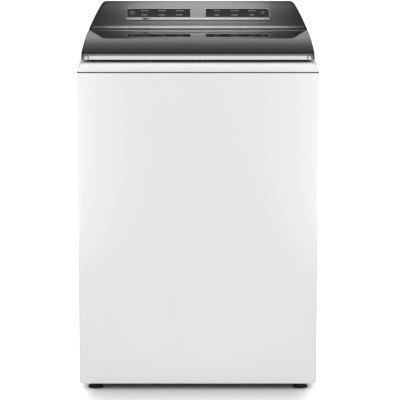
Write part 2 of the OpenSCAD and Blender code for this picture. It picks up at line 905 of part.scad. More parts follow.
module control_board() {
    board_low = window_low - 14;
    board_high = window_high + 12;
    board_half_w = bezel_half_w - 18;
    post_x = board_half_w - 7;
    module_w = 28;                       // light guides behind the windows' marks
    color("darkgreen")
    on_face() {
        translate([-board_half_w, board_low, board_n])
            cube([2 * board_half_w, board_high - board_low, 1.6]);
        for (x = [-1, -1 / 3, 1 / 3, 1] * post_x, u = [board_low + 5, board_high - 5])
            translate([x, u, board_n]) cylinder(r = 4, h = -console_t - board_n);
        for (sx = [-1, 1], x = [0.28, 0.49, 0.71] * bezel_half_w)
            translate([sx * x - module_w / 2, window_low + 6, board_n + 1])
                cube([module_w, window_high - window_low - 12, 8]);
    }
}

harness_y = rear_y - 92;
harness_r = 6;
harness_u = (harness_y - harness_r - console_y + board_n * sin(console_slope)) / cos(console_slope);

// Loom from the control board down to the mains inlet
module wiring_harness() {
    color("black")
    route([
        [cord_x, harness_y, face_z(harness_u, board_n) - seat_gap],
        [cord_x, harness_y, cabinet_top],
        [cord_x, rear_y - 46, cord_z],
        [cord_x, rear_y - panel_t - 9, cord_z]
    ], harness_r);
}

// Strain relief in the rear panel, where the mains cord enters
module cord_gland() {
    color("black")
    translate([cord_x, 0, cord_z])
        difference() {
            union() {
                spigot(rear_y - panel_t - 8, rear_y + 8, cord_r + 4, cord_r);
                spigot(rear_y, rear_y + 4, cord_r + 8, cord_r);
                spigot(rear_y - panel_t - 4, rear_y - panel_t, cord_r + 8, cord_r);
            }
        }
}

module inlet_valves() {
    color("white")
    for (x = inlet_x)
        translate([x, 0, inlet_z]) {
            difference() {
                union() {
                    spigot(rear_y - 6, rear_y + spigot_out, inlet_r, inlet_r - 4);
                    spigot(rear_y, rear_y + 3, inlet_r + 4, inlet_r - 4);
                    translate([-17, rear_y - panel_t - 45, -20]) cube([34, 45, 40]);
                }
                translate([0, rear_y - 30, 0]) rotate([-90, 0, 0]) cylinder(r = inlet_r - 4, h = 60);
            }
            // solenoid and outlet nipple
            translate([0, rear_y - 26, 20]) cylinder(r = 12, h = 10);
            translate([0, rear_y - panel_t - 45, 0]) rotate([90, 0, 0]) cylinder(r = 6, h = 12);
        }
}

// Hoses from the two valves to the dispenser
module fill_hoses() {
    y0 = rear_y - panel_t - 57;
    y1 = drawer_y + cover_t + drawer_l + housing_t + 16;
    color("dimgray")
    for (i = [0, 1])
        route([
            [inlet_x[i], y0, inlet_z],
            [inlet_x[i], y0 - 12, inlet_z],
            [nipple_x[i], y1 + 14, nipple_z],
            [nipple_x[i], y1, nipple_z]
        ], 7);
}

module drain_outlet() {
    color("dimgray")
    translate([drain_x, 0, drain_z]) {
        spigot(rear_y - panel_t - 26, rear_y + spigot_out, drain_r, drain_r - 3);
        spigot(rear_y, rear_y + 4, drain_r + 10, drain_r);
        spigot(rear_y - panel_t - 4, rear_y - panel_t, drain_r + 10, drain_r);
    }
}

outlet_z = pump_z + 18;
outlet_end = sump_xy[0] - pump_r - 22;

// Hose from the pump to the drain outlet
module drain_hose() {
    y = sump_xy[1] + axis_y;
    run = outlet_end - drain_x;
    color("black")
    route([
        [outlet_end, y, outlet_z],
        [drain_x + 0.5 * run, y, outlet_z],
        [drain_x + 0.1 * run, y + 16, outlet_z + 2],
        [drain_x, y + 44, outlet_z + 6],
        [drain_x, rear_y - 90, drain_z - 22],
        [drain_x, rear_y - 50, drain_z],
        [drain_x, rear_y - panel_t - 26, drain_z]
    ], drain_r);
}

// ---- lid ----

module lid_envelope() {
    // side view of all that turns clear of the console: up to the hinge, then the half-round
    translate([lid_front_y, cabinet_top]) square([hinge_y - lid_front_y, 200]);
    translate([hinge_y, hinge_z]) circle(lid_edge_r);
    translate([hinge_y, hinge_z - 20]) square([lid_edge_r, 20]);
}

module crown(r) {
    translate([lid_cy, lid_cz]) circle(r, $fn = 1024);
}

module lid_outline() {
    translate([0, (lid_front_y + lid_rear_y) / 2])
        rrect(2 * lid_half_w, lid_rear_y - lid_front_y, 9);
}

module lid_glass() {
    color("darkslategray")
    intersection() {
        extrude_x(2 * lid_half_w)
            intersection() {
                difference() {
                    crown(lid_crown_r);
                    crown(lid_crown_r - glass_t);
                }
                lid_envelope();
                translate([lid_front_y + 3, cabinet_top]) square([lid_rear_y - lid_front_y, 200]);
            }
        translate([0, 0, cabinet_top]) linear_extrude(200) lid_outline();
    }
}

// Side view of the frame: from a line along the deck up to the glass's underside
module frame_side_view() {
    steps = 24;
    intersection() {
        lid_envelope();
        polygon([
            [lid_front_y, deck_z(lid_front_y) + finger_gap],
            for (i = [0:steps])
                let (y = lid_front_y + (lid_rear_y - lid_front_y) * i / steps)
                [y, crown_z(y) - glass_t - 0.1],
            [lid_rear_y, deck_z(lid_rear_y) + finger_gap]
        ]);
    }
}

module lid_frame() {
    window_d = lid_rear_y - lid_front_y - 2 * lid_rail_w;
    color("dimgray")
    difference() {
        intersection() {
            extrude_x(2 * lid_half_w) frame_side_view();
            translate([0, 0, cabinet_top]) linear_extrude(200) lid_outline();
        }
        translate([0, (lid_front_y + lid_rear_y) / 2, cabinet_top])
            linear_extrude(200)
                rrect(2 * (lid_half_w - lid_rail_w), window_d, 30);
        // seat of the front trim
        translate([-trim_half_w, lid_front_y - 1, cabinet_top])
            cube([2 * trim_half_w, trim_t + 1, 200]);
        // pockets of the hinges
        for (sx = [-1, 1])
            translate([sx * hinge_x - notch_half, hinge_y - 16, cabinet_top])
                cube([2 * notch_half, 60, 200]);
    }
}

module lid_front_trim() {
    end_r = 6;
    back_y = lid_front_y + trim_t;
    low = deck_z(lid_front_y) + finger_gap;
    under_glass = lid_front_z - glass_t - 0.1;
    color("silver")
    intersection() {
        extrude_x(2 * trim_half_w)
            polygon([
                [lid_front_y, low], [lid_front_y, lid_front_z - trim_bevel],
                [lid_front_y + 2.6, lid_front_z], [lid_front_y + 2.9, lid_front_z],
                [lid_front_y + 2.9, under_glass], [back_y, under_glass], [back_y, low]
            ]);
        translate([0, lid_front_y + 20, cabinet_top])
            linear_extrude(200) rrect(2 * trim_half_w, 40, end_r);
    }
}

// Hinge: two cheeks and a web in the frame's pocket, with the pin through the cover's ear
module lid_hinges() {
    top = hinge_z + lid_edge_r - glass_t - 0.4;
    low = hinge_z - 6;
    color("silver")
    for (sx = [-1, 1])
        translate([sx * hinge_x, hinge_y, 0]) {
            for (side = [-1, 1])
                translate([side * (ear_w / 2 + 0.5 + cheek_t / 2) - cheek_t / 2, -15.8, low])
                    cube([cheek_t, 20.8, top - low]);
            translate([-notch_half + 0.1, -15.8, low]) cube([2 * notch_half - 0.2, cheek_t, top - low]);
            translate([-notch_half + 0.1, 0, hinge_z])
                rotate([0, 90, 0]) cylinder(r = hinge_pin_r, h = 2 * notch_half - 0.2);
        }
}

// Steel hook that the lock's bolt enters
module lid_strike() {
    top = deck_z(lock_y) + finger_gap;
    foot_w = strike_w + 22;
    color("silver")
    difference() {
        union() {
            translate([-strike_w / 2, lock_y - strike_t / 2, strike_z - 2])
                cube([strike_w, strike_t, top - strike_z]);
            translate([-foot_w / 2, lock_y - 7, top])
                rotate([deck_slope, 0, 0]) translate([0, 0, -2.4]) cube([foot_w, 14, 1.6]);
        }
        translate([-4.6, lock_y - 10, bolt_z - bolt_r - 0.6]) cube([strike_w, 20, 2 * bolt_r + 1.2]);
    }
}

module lid_bumpers() {
    color("black")
    for (sx = [-1, 1], y = [lid_front_y + 34, lid_rear_y - 150])
        on_deck(sx * (lid_half_w - 25), y)
            translate([0, 0, seat_gap])
                cylinder(r = 6, h = finger_gap * cos(deck_slope) - seat_gap - 0.05);
}

// ---- suspension ----

module suspension_rods() {
    color("silver")
    at_rods() {
        translate([0, 0, cap_z - 6]) cylinder(r = rod_r + 3, h = 6);
        translate([0, 0, cap_z - 3]) cylinder(r = rod_r, h = plate_z + plate_t - cap_z + 6);
        translate([0, 0, plate_z + plate_t + sqrt(head_r * head_r - plate_hole_r * plate_hole_r) + 0.2])
            sphere(head_r);
    }
}

module suspension_end_caps() {
    color("white")
    at_rods()
        translate([0, 0, cap_z]) ring(spring_r + spring_wire + 4, rod_r + 0.05, cap_h);
}

module suspension_cups() {
    color("white")
    at_rods()
        translate([0, 0, lug_z - cup_h]) ring(spring_r + spring_wire + 4, rod_r + 1, cup_h);
}

// Coil spring swept as one tube with flat end rings
module suspension_springs() {
    sides = 6;
    steps = 12;
    rings = spring_turns * steps;
    pitch = (spring_len - 2 * spring_wire) / spring_turns;
    points = [
        for (i = [0:rings], j = [0:sides - 1])
            let (
                a = 360 * i / steps,
                b = 360 * j / sides,
                r = spring_r + spring_wire * cos(b)
            )
            [r * cos(a), r * sin(a), spring_wire + pitch * i / steps + spring_wire * sin(b)]
    ];
    faces = concat(
        [
            for (i = [0:rings - 1], j = [0:sides - 1], half = [0, 1])
                let (a = i * sides + j, b = i * sides + (j + 1) % sides)
                half == 0 ? [a, b, b + sides] : [a, b + sides, a + sides]
        ],
        [[for (j = [sides - 1:-1:0]) j]],
        [[for (j = [0:sides - 1]) rings * sides + j]]
    );
    color("silver")
    at_rods() translate([0, 0, spring_bottom]) polyhedron(points, faces, convexity = 10);
}

// ---- tub ----

module at_lugs() {
    for (a = [rod_a, 180 - rod_a, 180 + rod_a, -rod_a])
        at_axis() rotate([0, 0, a]) children();
}

module at_sump() {
    at_axis() translate([sump_xy[0], sump_xy[1], 0]) children();
}

// Bolts between the tub's floor and the drive bracket
module at_posts() {
    at_axis()
        for (x = [-80, motor_x + 88], y = [-78, 78])
            translate([x, y, 0]) children();
}

module outer_tub() {
    color("gainsboro")
    difference() {
        union() {
            at_axis() translate([0, 0, tub_z]) cylinder(r = tub_r, h = tub_top - tub_z, $fn = 128);
            at_axis() translate([0, 0, tub_top - 8]) cylinder(r = tub_r + 6, h = 8, $fn = 128);
            at_axis() translate([0, 0, bracket_z + bracket_t])
                cylinder(r = boss_r, h = tub_z - bracket_z - bracket_t + 1);
            at_posts() translate([0, 0, bracket_z + bracket_t])
                cylinder(r = 10, h = tub_z - bracket_z - bracket_t + 1);
            at_sump() translate([0, 0, tub_z - 17]) cylinder(r = sump_r, h = 18);
            at_lugs() {
                translate([tub_r - 2, -26, lug_z]) cube([rod_d + 20 - tub_r + 2, 52, lug_t]);
                translate([0, 4, lug_z + lug_t])
                    rotate([90, 0, 0])
                        linear_extrude(8)
                            polygon([[tub_r - 2, -1], [rod_d - 26, -1], [tub_r - 2, 60]]);
            }
        }
        at_axis() translate([0, 0, tub_z + tub_floor]) cylinder(r = tub_r - tub_t, h = tub_top, $fn = 128);
        at_axis() translate([0, 0, tub_z - 50]) cylinder(r = bearing_r, h = 100);
        at_sump() translate([0, 0, tub_z - 50]) cylinder(r = sump_r - 3, h = 100);
        at_lugs() translate([rod_d, 0, lug_z - 1]) cylinder(r = rod_r + 4, h = lug_t + 2);
    }
}

module tub_ring() {
    color("whitesmoke")
    at_axis() translate([0, 0, tub_top])
        difference() {
            union() {
                cylinder(r = tub_r + 6, h = 5, $fn = 128);
                cylinder(r = ring_open_r + 14, h = ring_h, $fn = 128);
            }
            translate([0, 0, -1]) cylinder(r = ring_open_r, h = ring_h + 2, $fn = 128);
            translate([0, 0, -1]) cylinder(r = ring_open_r + 11, h = ring_h - 2, $fn = 128);
            translate([0, 0, -1]) ring(tub_r - tub_t, ring_open_r + 10, 3);
        }
}

module tub_bearings() {
    color("silver")
    at_axis() {
        translate([0, 0, tub_z - 12]) ring(bearing_r - 0.05, spin_tube_r + run_gap, bearing_h);
        translate([0, 0, bracket_z - bearing_h]) ring(bearing_r - 0.05, spin_tube_r + run_gap, bearing_h);
    }
}

module tub_seal() {
    color("black")
    at_axis() translate([0, 0, tub_z + 2.2])
        difference() {
            union() {
                cylinder(r = bearing_r - 0.05, h = tub_floor - 2.2 + 5);
                translate([0, 0, tub_floor - 2.2]) cylinder(r = bearing_r + 4, h = 2);
            }
            translate([0, 0, -1]) cylinder(r = spin_tube_r + seat_gap, h = 30);
        }
}

module bracket_outline() {
    translate([(motor_x + 8) / 2, 0]) rrect(motor_x + 200, 184, 14);
}

module drive_bracket() {
    color("lightsteelblue")
    difference() {
        at_axis() translate([0, 0, bracket_z]) linear_extrude(bracket_t) bracket_outline();
        at_axis() translate([0, 0, bracket_z - 1]) cylinder(r = bearing_r + 3, h = bracket_t + 2);
        at_axis() translate([motor_x, 0, bracket_z - 1]) cylinder(r = 20, h = bracket_t + 2);
        at_posts() translate([0, 0, bracket_z - 1]) cylinder(r = 4, h = bracket_t + 2);
    }
}

// Housing of the lower bearing and the clutch, under the bracket
module clutch_housing() {
    color("silver")
    at_axis() translate([0, 0, clutch_z])
        difference() {
            union() {
                cylinder(r = clutch_r, h = clutch_h);
                translate([0, 0, clutch_h - 6]) cylinder(r = clutch_r + 12, h = 6);
            }
            translate([0, 0, 6]) cylinder(r = clutch_r - 6, h = clutch_h - 26);
            translate([0, 0, clutch_h - bearing_h]) cylinder(r = bearing_r, h = 30);
            translate([0, 0, clutch_h - 30]) cylinder(r = spin_tube_r + 1, h = 40);
            translate([0, 0, -1]) cylinder(r = drive_shaft_r + run_gap, h = 10);
        }
}

module drive_pulley() {
    color("darkgray")
    at_axis() translate([0, 0, pulley_z])
        difference() {
            cylinder(r = pulley_r, h = pulley_h);
            translate([0, 0, 6]) ring(pulley_r - 8, 20, pulley_h);
            translate([0, 0, -1]) cylinder(r = drive_shaft_r + 0.05, h = pulley_h + 2);
            for (a = [0:60:300])
                rotate([0, 0, a]) translate([(pulley_r + 12) / 2, 0, -1]) cylinder(r = 13, h = pulley_h);
        }
}

module drive_belt() {
    gap = seat_gap;
    color("black")
    at_axis() translate([0, 0, pulley_z + (pulley_h - belt_w) / 2])
        linear_extrude(belt_w)
            difference() {
                round_pair(pulley_r + gap + belt_t, motor_pulley_r + gap + belt_t, motor_x);
                round_pair(pulley_r + gap, motor_pulley_r + gap, motor_x);
            }
}

module motor_housing() {
    low = bracket_z - motor_h;
    color("dimgray")
    at_axis() translate([motor_x, 0, low])
        difference() {
            union() {
                cylinder(r = motor_r, h = motor_h);
                translate([0, 0, motor_h - 4]) cylinder(r = motor_r + 12, h = 4);
            }
            translate([0, 0, 8]) cylinder(r = motor_r - 22, h = motor_h - 16);
            translate([0, 0, -1]) cylinder(r = motor_shaft_r + run_gap, h = motor_h - 3);
        }
}

module motor_rotor() {
    low = bracket_z - motor_h;
    color("silver")
    at_axis() translate([motor_x, 0, 0]) {
        translate([0, 0, pulley_z]) cylinder(r = motor_shaft_r, h = bracket_z - 6 - pulley_z);
        translate([0, 0, low + 14]) cylinder(r = motor_r - 23, h = motor_h - 28);
    }
}

module motor_pulley() {
    color("darkgray")
    at_axis() translate([motor_x, 0, pulley_z]) ring(motor_pulley_r, motor_shaft_r + 0.05, pulley_h);
}

// Clutch actuator on the bracket, whose slider shifts between washing and spinning
actuator_x = -clutch_r - 62;
slider_z = bracket_z - 58;
slider_travel = 6;

module shift_actuator() {
    color("white")
    at_axis()
        difference() {
            translate([actuator_x, -24, slider_z - 12]) cube([38, 48, bracket_z - slider_z + 12]);
            translate([actuator_x + 10, -8.5, slider_z - 0.5]) cube([40, 17, slider_travel + 9]);
        }
}

module shift_slider() {
    color("gray")
    at_axis() translate([actuator_x + 12, -8, slider_z]) cube([slider_l, 16, 8]);
}

slider_l = -clutch_r - 0.6 - actuator_x - 12;

// Pump hung under the sump, with its outlet to the left
module drain_pump() {
    color("dimgray")
    at_sump()
        difference() {
            union() {
                translate([0, 0, pump_z]) cylinder(r = pump_r, h = pump_h);
                translate([0, 0, pump_z + pump_h - 1]) cylinder(r = sump_r, h = 20);
                translate([0, 0, outlet_z])
                    rotate([0, -90, 0]) cylinder(r = drain_r, h = pump_r + 22);
                for (a = [90, 210, 330])
                    rotate([0, 0, a]) translate([pump_r + 4, 0, pump_z + pump_h - 10])
                        cylinder(r = 6, h = tub_z - pump_z - pump_h + 10);
            }
            translate([0, 0, pump_z + 6]) cylinder(r = 28, h = 24);
            translate([0, 0, pump_z + 6]) cylinder(r = sump_r - 4, h = pump_h + 30);
            translate([0, 0, outlet_z]) rotate([0, -90, 0]) cylinder(r = drain_r - 4, h = pump_r + 30);
            translate([0, 0, pump_z - 1]) cylinder(r = 4 + run_gap, h = 10);
        }
}

module pump_impeller() {
    color("white")
    at_sump() translate([0, 0, pump_z + 8]) {
        translate([0, 0, -6]) cylinder(r = 4, h = 20);
        cylinder(r = 22, h = 2);
        for (a = [0:60:300])
            rotate([0, 0, a]) translate([2, -1, 0]) cube([20, 2, 12]);
    }
}

// Bellows between the tub's sump and the pump
module sump_hose() {
    low = pump_z + pump_h + 4;
    high = tub_z - 4;
    n = 4;
    step = (high - low - 24) / n;
    color("black")
    at_sump() {
        translate([0, 0, low]) ring(sump_r + 3, sump_r + 0.05, high - low);
        for (i = [0:n - 1])
            translate([0, 0, low + 12 + step * (i + 0.2)]) ring(sump_r + 6, sump_r + 2, step * 0.6);
    }
}

// ---- basket ----

module basket() {
    wall_h = basket_top - balance_h - basket_z - 60;
    color("silver")
    at_axis()
        difference() {
            translate([0, 0, basket_z]) cylinder(r = basket_r, h = basket_top - basket_z, $fn = 128);
            translate([0, 0, basket_z + basket_t])
                cylinder(r = basket_r - basket_t, h = basket_top, $fn = 128);
            translate([0, 0, basket_z - 1]) cylinder(r = 60, h = 10);
            for (row = [0:basket_rows - 1], k = [0:15])
                rotate([0, 0, 22.5 * (k + (row % 2) / 2)])
                    translate([basket_r - 8, 0, basket_z + 50 + wall_h * row / (basket_rows - 1)])
                        rotate([0, 90, 0]) cylinder(r = basket_hole_r, h = 16, $fn = 24);
            for (a = [0:15:345], r = [150, 190])
                rotate([0, 0, a]) translate([r, 0, basket_z - 1]) cylinder(r = 4, h = 5, $fn = 24);
        }
}

// Cast hub under the basket's floor, fixed to the spin tube
module basket_hub() {
    color("darkgray")
    at_axis()
        difference() {
            union() {
                translate([0, 0, hub_z]) cylinder(r = 52, h = basket_z - hub_z + 4);
                translate([0, 0, basket_z - 8]) cylinder(r = 112, h = 8);
                for (a = [0:60:300])
                    rotate([0, 0, a]) translate([40, -7, basket_z - 12]) cube([66, 14, 6]);
            }
            translate([0, 0, hub_z - 1]) cylinder(r = spin_tube_r + 0.05, h = 60);
        }
}

module balance_ring() {
    r = basket_r - basket_t - 0.1;
    color("gray")
    at_axis() translate([0, 0, basket_top - balance_h])
        ring(r, r - balance_w, balance_h + 1.5, $fn = 128);
}

module spin_tube() {
    color("silver")
    at_axis() translate([0, 0, bracket_z - 40])
        ring(spin_tube_r, drive_shaft_r + run_gap, basket_z + 3 - bracket_z + 40);
}

// ---- wash plate ----

module wash_plate() {
    boss_h = 34;
    color("lightgray")
    at_axis()
        difference() {
            union() {
                translate([0, 0, wash_z]) cylinder(r = wash_r, h = 5, $fn = 128);
                translate([0, 0, wash_z]) cylinder(r1 = 78, r2 = 44, h = boss_h);
                intersection() {
                    for (a = [0:360 / wash_fins:359])
                        rotate([0, 0, a]) translate([30, 0, wash_z + 14])
                            rotate([0, 94, 0]) cylinder(r = 17, h = wash_r - 36);
                    translate([0, 0, wash_z]) cylinder(r = wash_r, h = 60);
                }
            }
            translate([0, 0, wash_z - 1]) cylinder(r = drive_shaft_r + 0.05, h = 60);
            translate([0, 0, wash_z + boss_h - 8]) cylinder(r = 30.3, h = 20);
            for (a = [0:360 / wash_fins:359], r = [110, 150, 190])
                rotate([0, 0, a + 180 / wash_fins]) translate([r, 0, wash_z - 1])
                    cylinder(r = 4, h = 8, $fn = 24);
        }
}

module wash_plate_cap() {
    color("gray")
    at_axis() translate([0, 0, wash_z + 26])
        difference() {
            union() {
                cylinder(r = 30, h = 8);
                translate([0, 0, 8]) cylinder(r1 = 30, r2 = 22, h = 5);
            }
            translate([0, 0, -1]) cylinder(r = drive_shaft_r + 0.5, h = 5);
        }
}

module drive_shaft() {
    low = pulley_z - 2;
    color("silver")
    at_axis() translate([0, 0, low]) cylinder(r = drive_shaft_r, h = wash_z + 29.7 - low);
}

cabinet_shell();
base_rails();
rear_panel();
corner_brackets();
rear_screws();
foot_front_left();
foot_front_right();
foot_rear_left();
foot_rear_right();
foot_lock_nuts();
top_cover();
lid_lock_housing();
lid_lock_bolt();
dispenser_housing();
dispenser_drawer();
console_fascia();
console_rear_cover();
display_bezel();
display_windows();
control_board();
wiring_harness();
cord_gland();
inlet_valves();
fill_hoses();
drain_outlet();
drain_hose();
lid_glass();
lid_frame();
lid_front_trim();
lid_hinges();
lid_strike();
lid_bumpers();
suspension_rods();
suspension_end_caps();
suspension_springs();
suspension_cups();
outer_tub();
tub_ring();
tub_bearings();
tub_seal();
drive_bracket();
clutch_housing();
motor_housing();
motor_rotor();
motor_pulley();
drive_pulley();
drive_belt();
shift_actuator();
shift_slider();
drain_pump();
pump_impeller();
sump_hose();
basket();
basket_hub();
balance_ring();
spin_tube();
wash_plate();
wash_plate_cap();
drive_shaft();
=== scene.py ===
import math

import bmesh
import bpy
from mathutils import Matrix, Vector


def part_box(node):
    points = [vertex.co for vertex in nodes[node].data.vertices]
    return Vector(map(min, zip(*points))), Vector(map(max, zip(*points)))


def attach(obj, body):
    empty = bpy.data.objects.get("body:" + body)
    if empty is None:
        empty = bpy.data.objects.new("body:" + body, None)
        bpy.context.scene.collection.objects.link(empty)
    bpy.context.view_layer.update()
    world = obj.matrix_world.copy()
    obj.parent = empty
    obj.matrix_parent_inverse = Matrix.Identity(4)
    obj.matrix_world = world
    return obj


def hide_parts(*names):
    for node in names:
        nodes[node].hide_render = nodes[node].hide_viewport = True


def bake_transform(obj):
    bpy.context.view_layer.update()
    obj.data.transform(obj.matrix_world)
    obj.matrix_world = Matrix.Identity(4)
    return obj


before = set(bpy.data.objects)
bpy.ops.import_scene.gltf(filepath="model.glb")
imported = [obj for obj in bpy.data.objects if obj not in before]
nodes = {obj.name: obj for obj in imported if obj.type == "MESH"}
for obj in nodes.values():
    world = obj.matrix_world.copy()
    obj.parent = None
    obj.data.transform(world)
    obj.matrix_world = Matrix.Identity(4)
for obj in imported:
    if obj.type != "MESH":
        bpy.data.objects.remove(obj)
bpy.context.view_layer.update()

MM = 0.001
scene = bpy.context.scene


# ---- nodes and colours ----

def linear(hex_colour):
    """The linear colour that a shader takes, from an sRGB hex value."""
    parts = [int(hex_colour[i:i + 2], 16) / 255 for i in (0, 2, 4)]
    return tuple(c / 12.92 if c <= 0.04045 else ((c + 0.055) / 1.055) ** 2.4 for c in parts) + (1.0,)


def add(tree, kind, settings=None, links=None):
    """Adds a node, sets its values and joins its inputs to the outputs given."""
    node = tree.nodes.new("ShaderNode" + kind)
    for key, value in (settings or {}).items():
        if isinstance(key, str) and hasattr(node, key):
            setattr(node, key, value)
        else:
            node.inputs[key].default_value = value
    for key, source in (links or {}).items():
        tree.links.new(source, node.inputs[key])
    return node


def new_finish(name):
    """An empty material and its node tree."""
    material = bpy.data.materials.new(name)
    material.use_nodes = True
    material.node_tree.nodes.clear()
    return material, material.node_tree


def pattern_scale(size_mm):
    """Noise scale for a pattern whose features are size_mm across."""
    return 1000 / size_mm


def two_tone(tree, place, light, dark, size_mm):
    """Colour that drifts between two shades over patches size_mm across."""
    patch = add(tree, "TexNoise", {"Scale": pattern_scale(size_mm), "Detail": 3.0}, {"Vector": place})
    return add(tree, "Mix", {"data_type": "RGBA", 6: linear(dark), 7: linear(light)},
               {0: patch.outputs["Fac"]}).outputs[2]


# ---- finishes ----

def moulded(name, light, dark, roughness, grain_mm, relief_mm=0.02):
    """Moulded plastic, rubber, paint or print: even colour, with a fine grain in its gloss."""
    material, tree = new_finish(name)
    place = add(tree, "TexCoord").outputs["Object"]
    grain = add(tree, "TexNoise", {"Scale": pattern_scale(grain_mm), "Detail": 4.0}, {"Vector": place})
    relief = add(tree, "Bump", {"Strength": 0.6, "Distance": relief_mm * MM},
                 {"Height": grain.outputs["Fac"]})
    gloss = add(tree, "MapRange", {"To Min": roughness - 0.05, "To Max": roughness + 0.05},
                {"Value": grain.outputs["Fac"]})
    shader = add(tree, "BsdfPrincipled", {"IOR": 1.5},
                 {"Base Color": two_tone(tree, place, light, dark, 140),
                  "Roughness": gloss.outputs["Result"],
                  "Normal": relief.outputs["Normal"]})
    add(tree, "OutputMaterial", links={"Surface": shader.outputs["BSDF"]})
    return material


def metal(name, light, dark, roughness, grain_mm, stretch=(1, 1, 1), relief_mm=0.01):
    """Metal or silver paint: stretch draws its grain out into the lines that rolling or brushing leaves."""
    material, tree = new_finish(name)
    place = add(tree, "TexCoord").outputs["Object"]
    along = add(tree, "Mapping", {"Scale": stretch}, {"Vector": place}).outputs["Vector"]
    grain = add(tree, "TexNoise", {"Scale": pattern_scale(grain_mm), "Detail": 5.0}, {"Vector": along})
    relief = add(tree, "Bump", {"Strength": 0.5, "Distance": relief_mm * MM},
                 {"Height": grain.outputs["Fac"]})
    gloss = add(tree, "MapRange", {"To Min": roughness - 0.06, "To Max": roughness + 0.06},
                {"Value": grain.outputs["Fac"]})
    shader = add(tree, "BsdfPrincipled", {"Metallic": 1.0},
                 {"Base Color": two_tone(tree, along, light, dark, grain_mm * 3),
                  "Roughness": gloss.outputs["Result"],
                  "Normal": relief.outputs["Normal"]})
    add(tree, "OutputMaterial", links={"Surface": shader.outputs["BSDF"]})
    return material


def white_enamel():
    # Powder enamel baked on steel: bright, with faint orange peel that softens what it mirrors.
    # Real peel is about 1.5 mm across; 6 mm is used so that it shows at all.
    material, tree = new_finish("white_enamel")
    place = add(tree, "TexCoord").outputs["Object"]
    peel = add(tree, "TexNoise", {"Scale": pattern_scale(6), "Detail": 2.0}, {"Vector": place})
    relief = add(tree, "Bump", {"Strength": 0.25, "Distance": 0.02 * MM}, {"Height": peel.outputs["Fac"]})
    gloss = add(tree, "MapRange", {"To Min": 0.32, "To Max": 0.38}, {"Value": peel.outputs["Fac"]})
    shader = add(tree, "BsdfPrincipled", {"IOR": 1.5, "Coat Weight": 0.25, "Coat Roughness": 0.15},
                 {"Base Color": two_tone(tree, place, "EFEFEF", "ECECED", 260),
                  "Roughness": gloss.outputs["Result"],
                  "Normal": relief.outputs["Normal"]})
    add(tree, "OutputMaterial", links={"Surface": shader.outputs["BSDF"]})
    return material


def dark_metallic():
    # Charcoal metallic lacquer on ABS: flakes under a clear coat make a broad soft glow round each highlight.
    # Real flakes are 0.05 mm; 1.2 mm is used so that they show close to.
    material, tree = new_finish("dark_metallic")
    place = add(tree, "TexCoord").outputs["Object"]
    flakes = add(tree, "TexVoronoi", {"Scale": pattern_scale(1.2)}, {"Vector": place})
    tone = add(tree, "Mix", {"data_type": "RGBA", 6: linear("525253"), 7: linear("636364")},
               {0: flakes.outputs["Distance"]})
    gloss = add(tree, "MapRange", {"To Min": 0.27, "To Max": 0.33}, {"Value": flakes.outputs["Distance"]})
    shader = add(tree, "BsdfPrincipled", {"Metallic": 1.0, "Coat Weight": 0.2, "Coat Roughness": 0.15},
                 {"Base Color": tone.outputs[2], "Roughness": gloss.outputs["Result"]})
    add(tree, "OutputMaterial", links={"Surface": shader.outputs["BSDF"]})
    return material


# The solid's pane is one crown. A real one is flat over its rear half, which shows in what it mirrors.
# In metres: the crown's radius and the depth where it is level, then the depths where the pane starts to
# flatten and where it is flat, and the rise of its flat part.
CROWN_R, CROWN_LEVEL = 3.2, 0.0968
FADE_START, FLAT_START = -0.2, -0.075
FLAT_RISE = math.radians(2.4)


def bent_past(tree, depth, start, bend):
    """Height that grows by bend times the square of the way past a line."""
    way = add(tree, "Math", {"operation": "SUBTRACT", 1: start}, {0: depth})
    past = add(tree, "Math", {"operation": "MAXIMUM", 1: 0.0}, {0: way.outputs[0]})
    square = add(tree, "Math", {"operation": "MULTIPLY"}, {0: past.outputs[0], 1: past.outputs[0]})
    return add(tree, "Math", {"operation": "MULTIPLY", 1: bend}, {0: square.outputs[0]}).outputs[0]


def tinted_glass():
    # Smoked toughened glass, polished: nearly black from above, a mirror at a glance.
    material, tree = new_finish("tinted_glass")
    place = add(tree, "TexCoord").outputs["Object"]
    wave = add(tree, "TexNoise", {"Scale": pattern_scale(160), "Detail": 1.0}, {"Vector": place})
    relief = add(tree, "Bump", {"Strength": 0.1, "Distance": 0.05 * MM}, {"Height": wave.outputs["Fac"]})
    depth = add(tree, "SeparateXYZ", links={"Vector": place}).outputs["Y"]
    # the slope is bent down from the first depth on, meets the flat part's at the second and stays there
    fade = ((CROWN_LEVEL - FLAT_START) / CROWN_R - FLAT_RISE) / (FLAT_START - FADE_START)
    fading = bent_past(tree, depth, FADE_START, -fade / 2)
    flat = bent_past(tree, depth, FLAT_START, (fade + 1 / CROWN_R) / 2)
    height = add(tree, "Math", {"operation": "ADD"}, {0: fading, 1: flat})
    pane = add(tree, "Bump", {"Strength": 1.0, "Distance": 1.0},
               {"Height": height.outputs[0], "Normal": relief.outputs["Normal"]})
    shader = add(tree, "BsdfPrincipled",
                 {"Base Color": linear("26282B"), "Roughness": 0.03, "IOR": 1.52, "Transmission Weight": 0.6},
                 {"Normal": pane.outputs["Normal"]})
    add(tree, "OutputMaterial", links={"Surface": shader.outputs["BSDF"]})
    return material


def display_lens():
    # Back-printed black acrylic: a deep gloss black.
    material, tree = new_finish("display_lens")
    place = add(tree, "TexCoord").outputs["Object"]
    shader = add(tree, "BsdfPrincipled", {"Roughness": 0.1, "IOR": 1.4},
                 {"Base Color": two_tone(tree, place, "343435", "303031", 30)})
    add(tree, "OutputMaterial", links={"Surface": shader.outputs["BSDF"]})
    return material


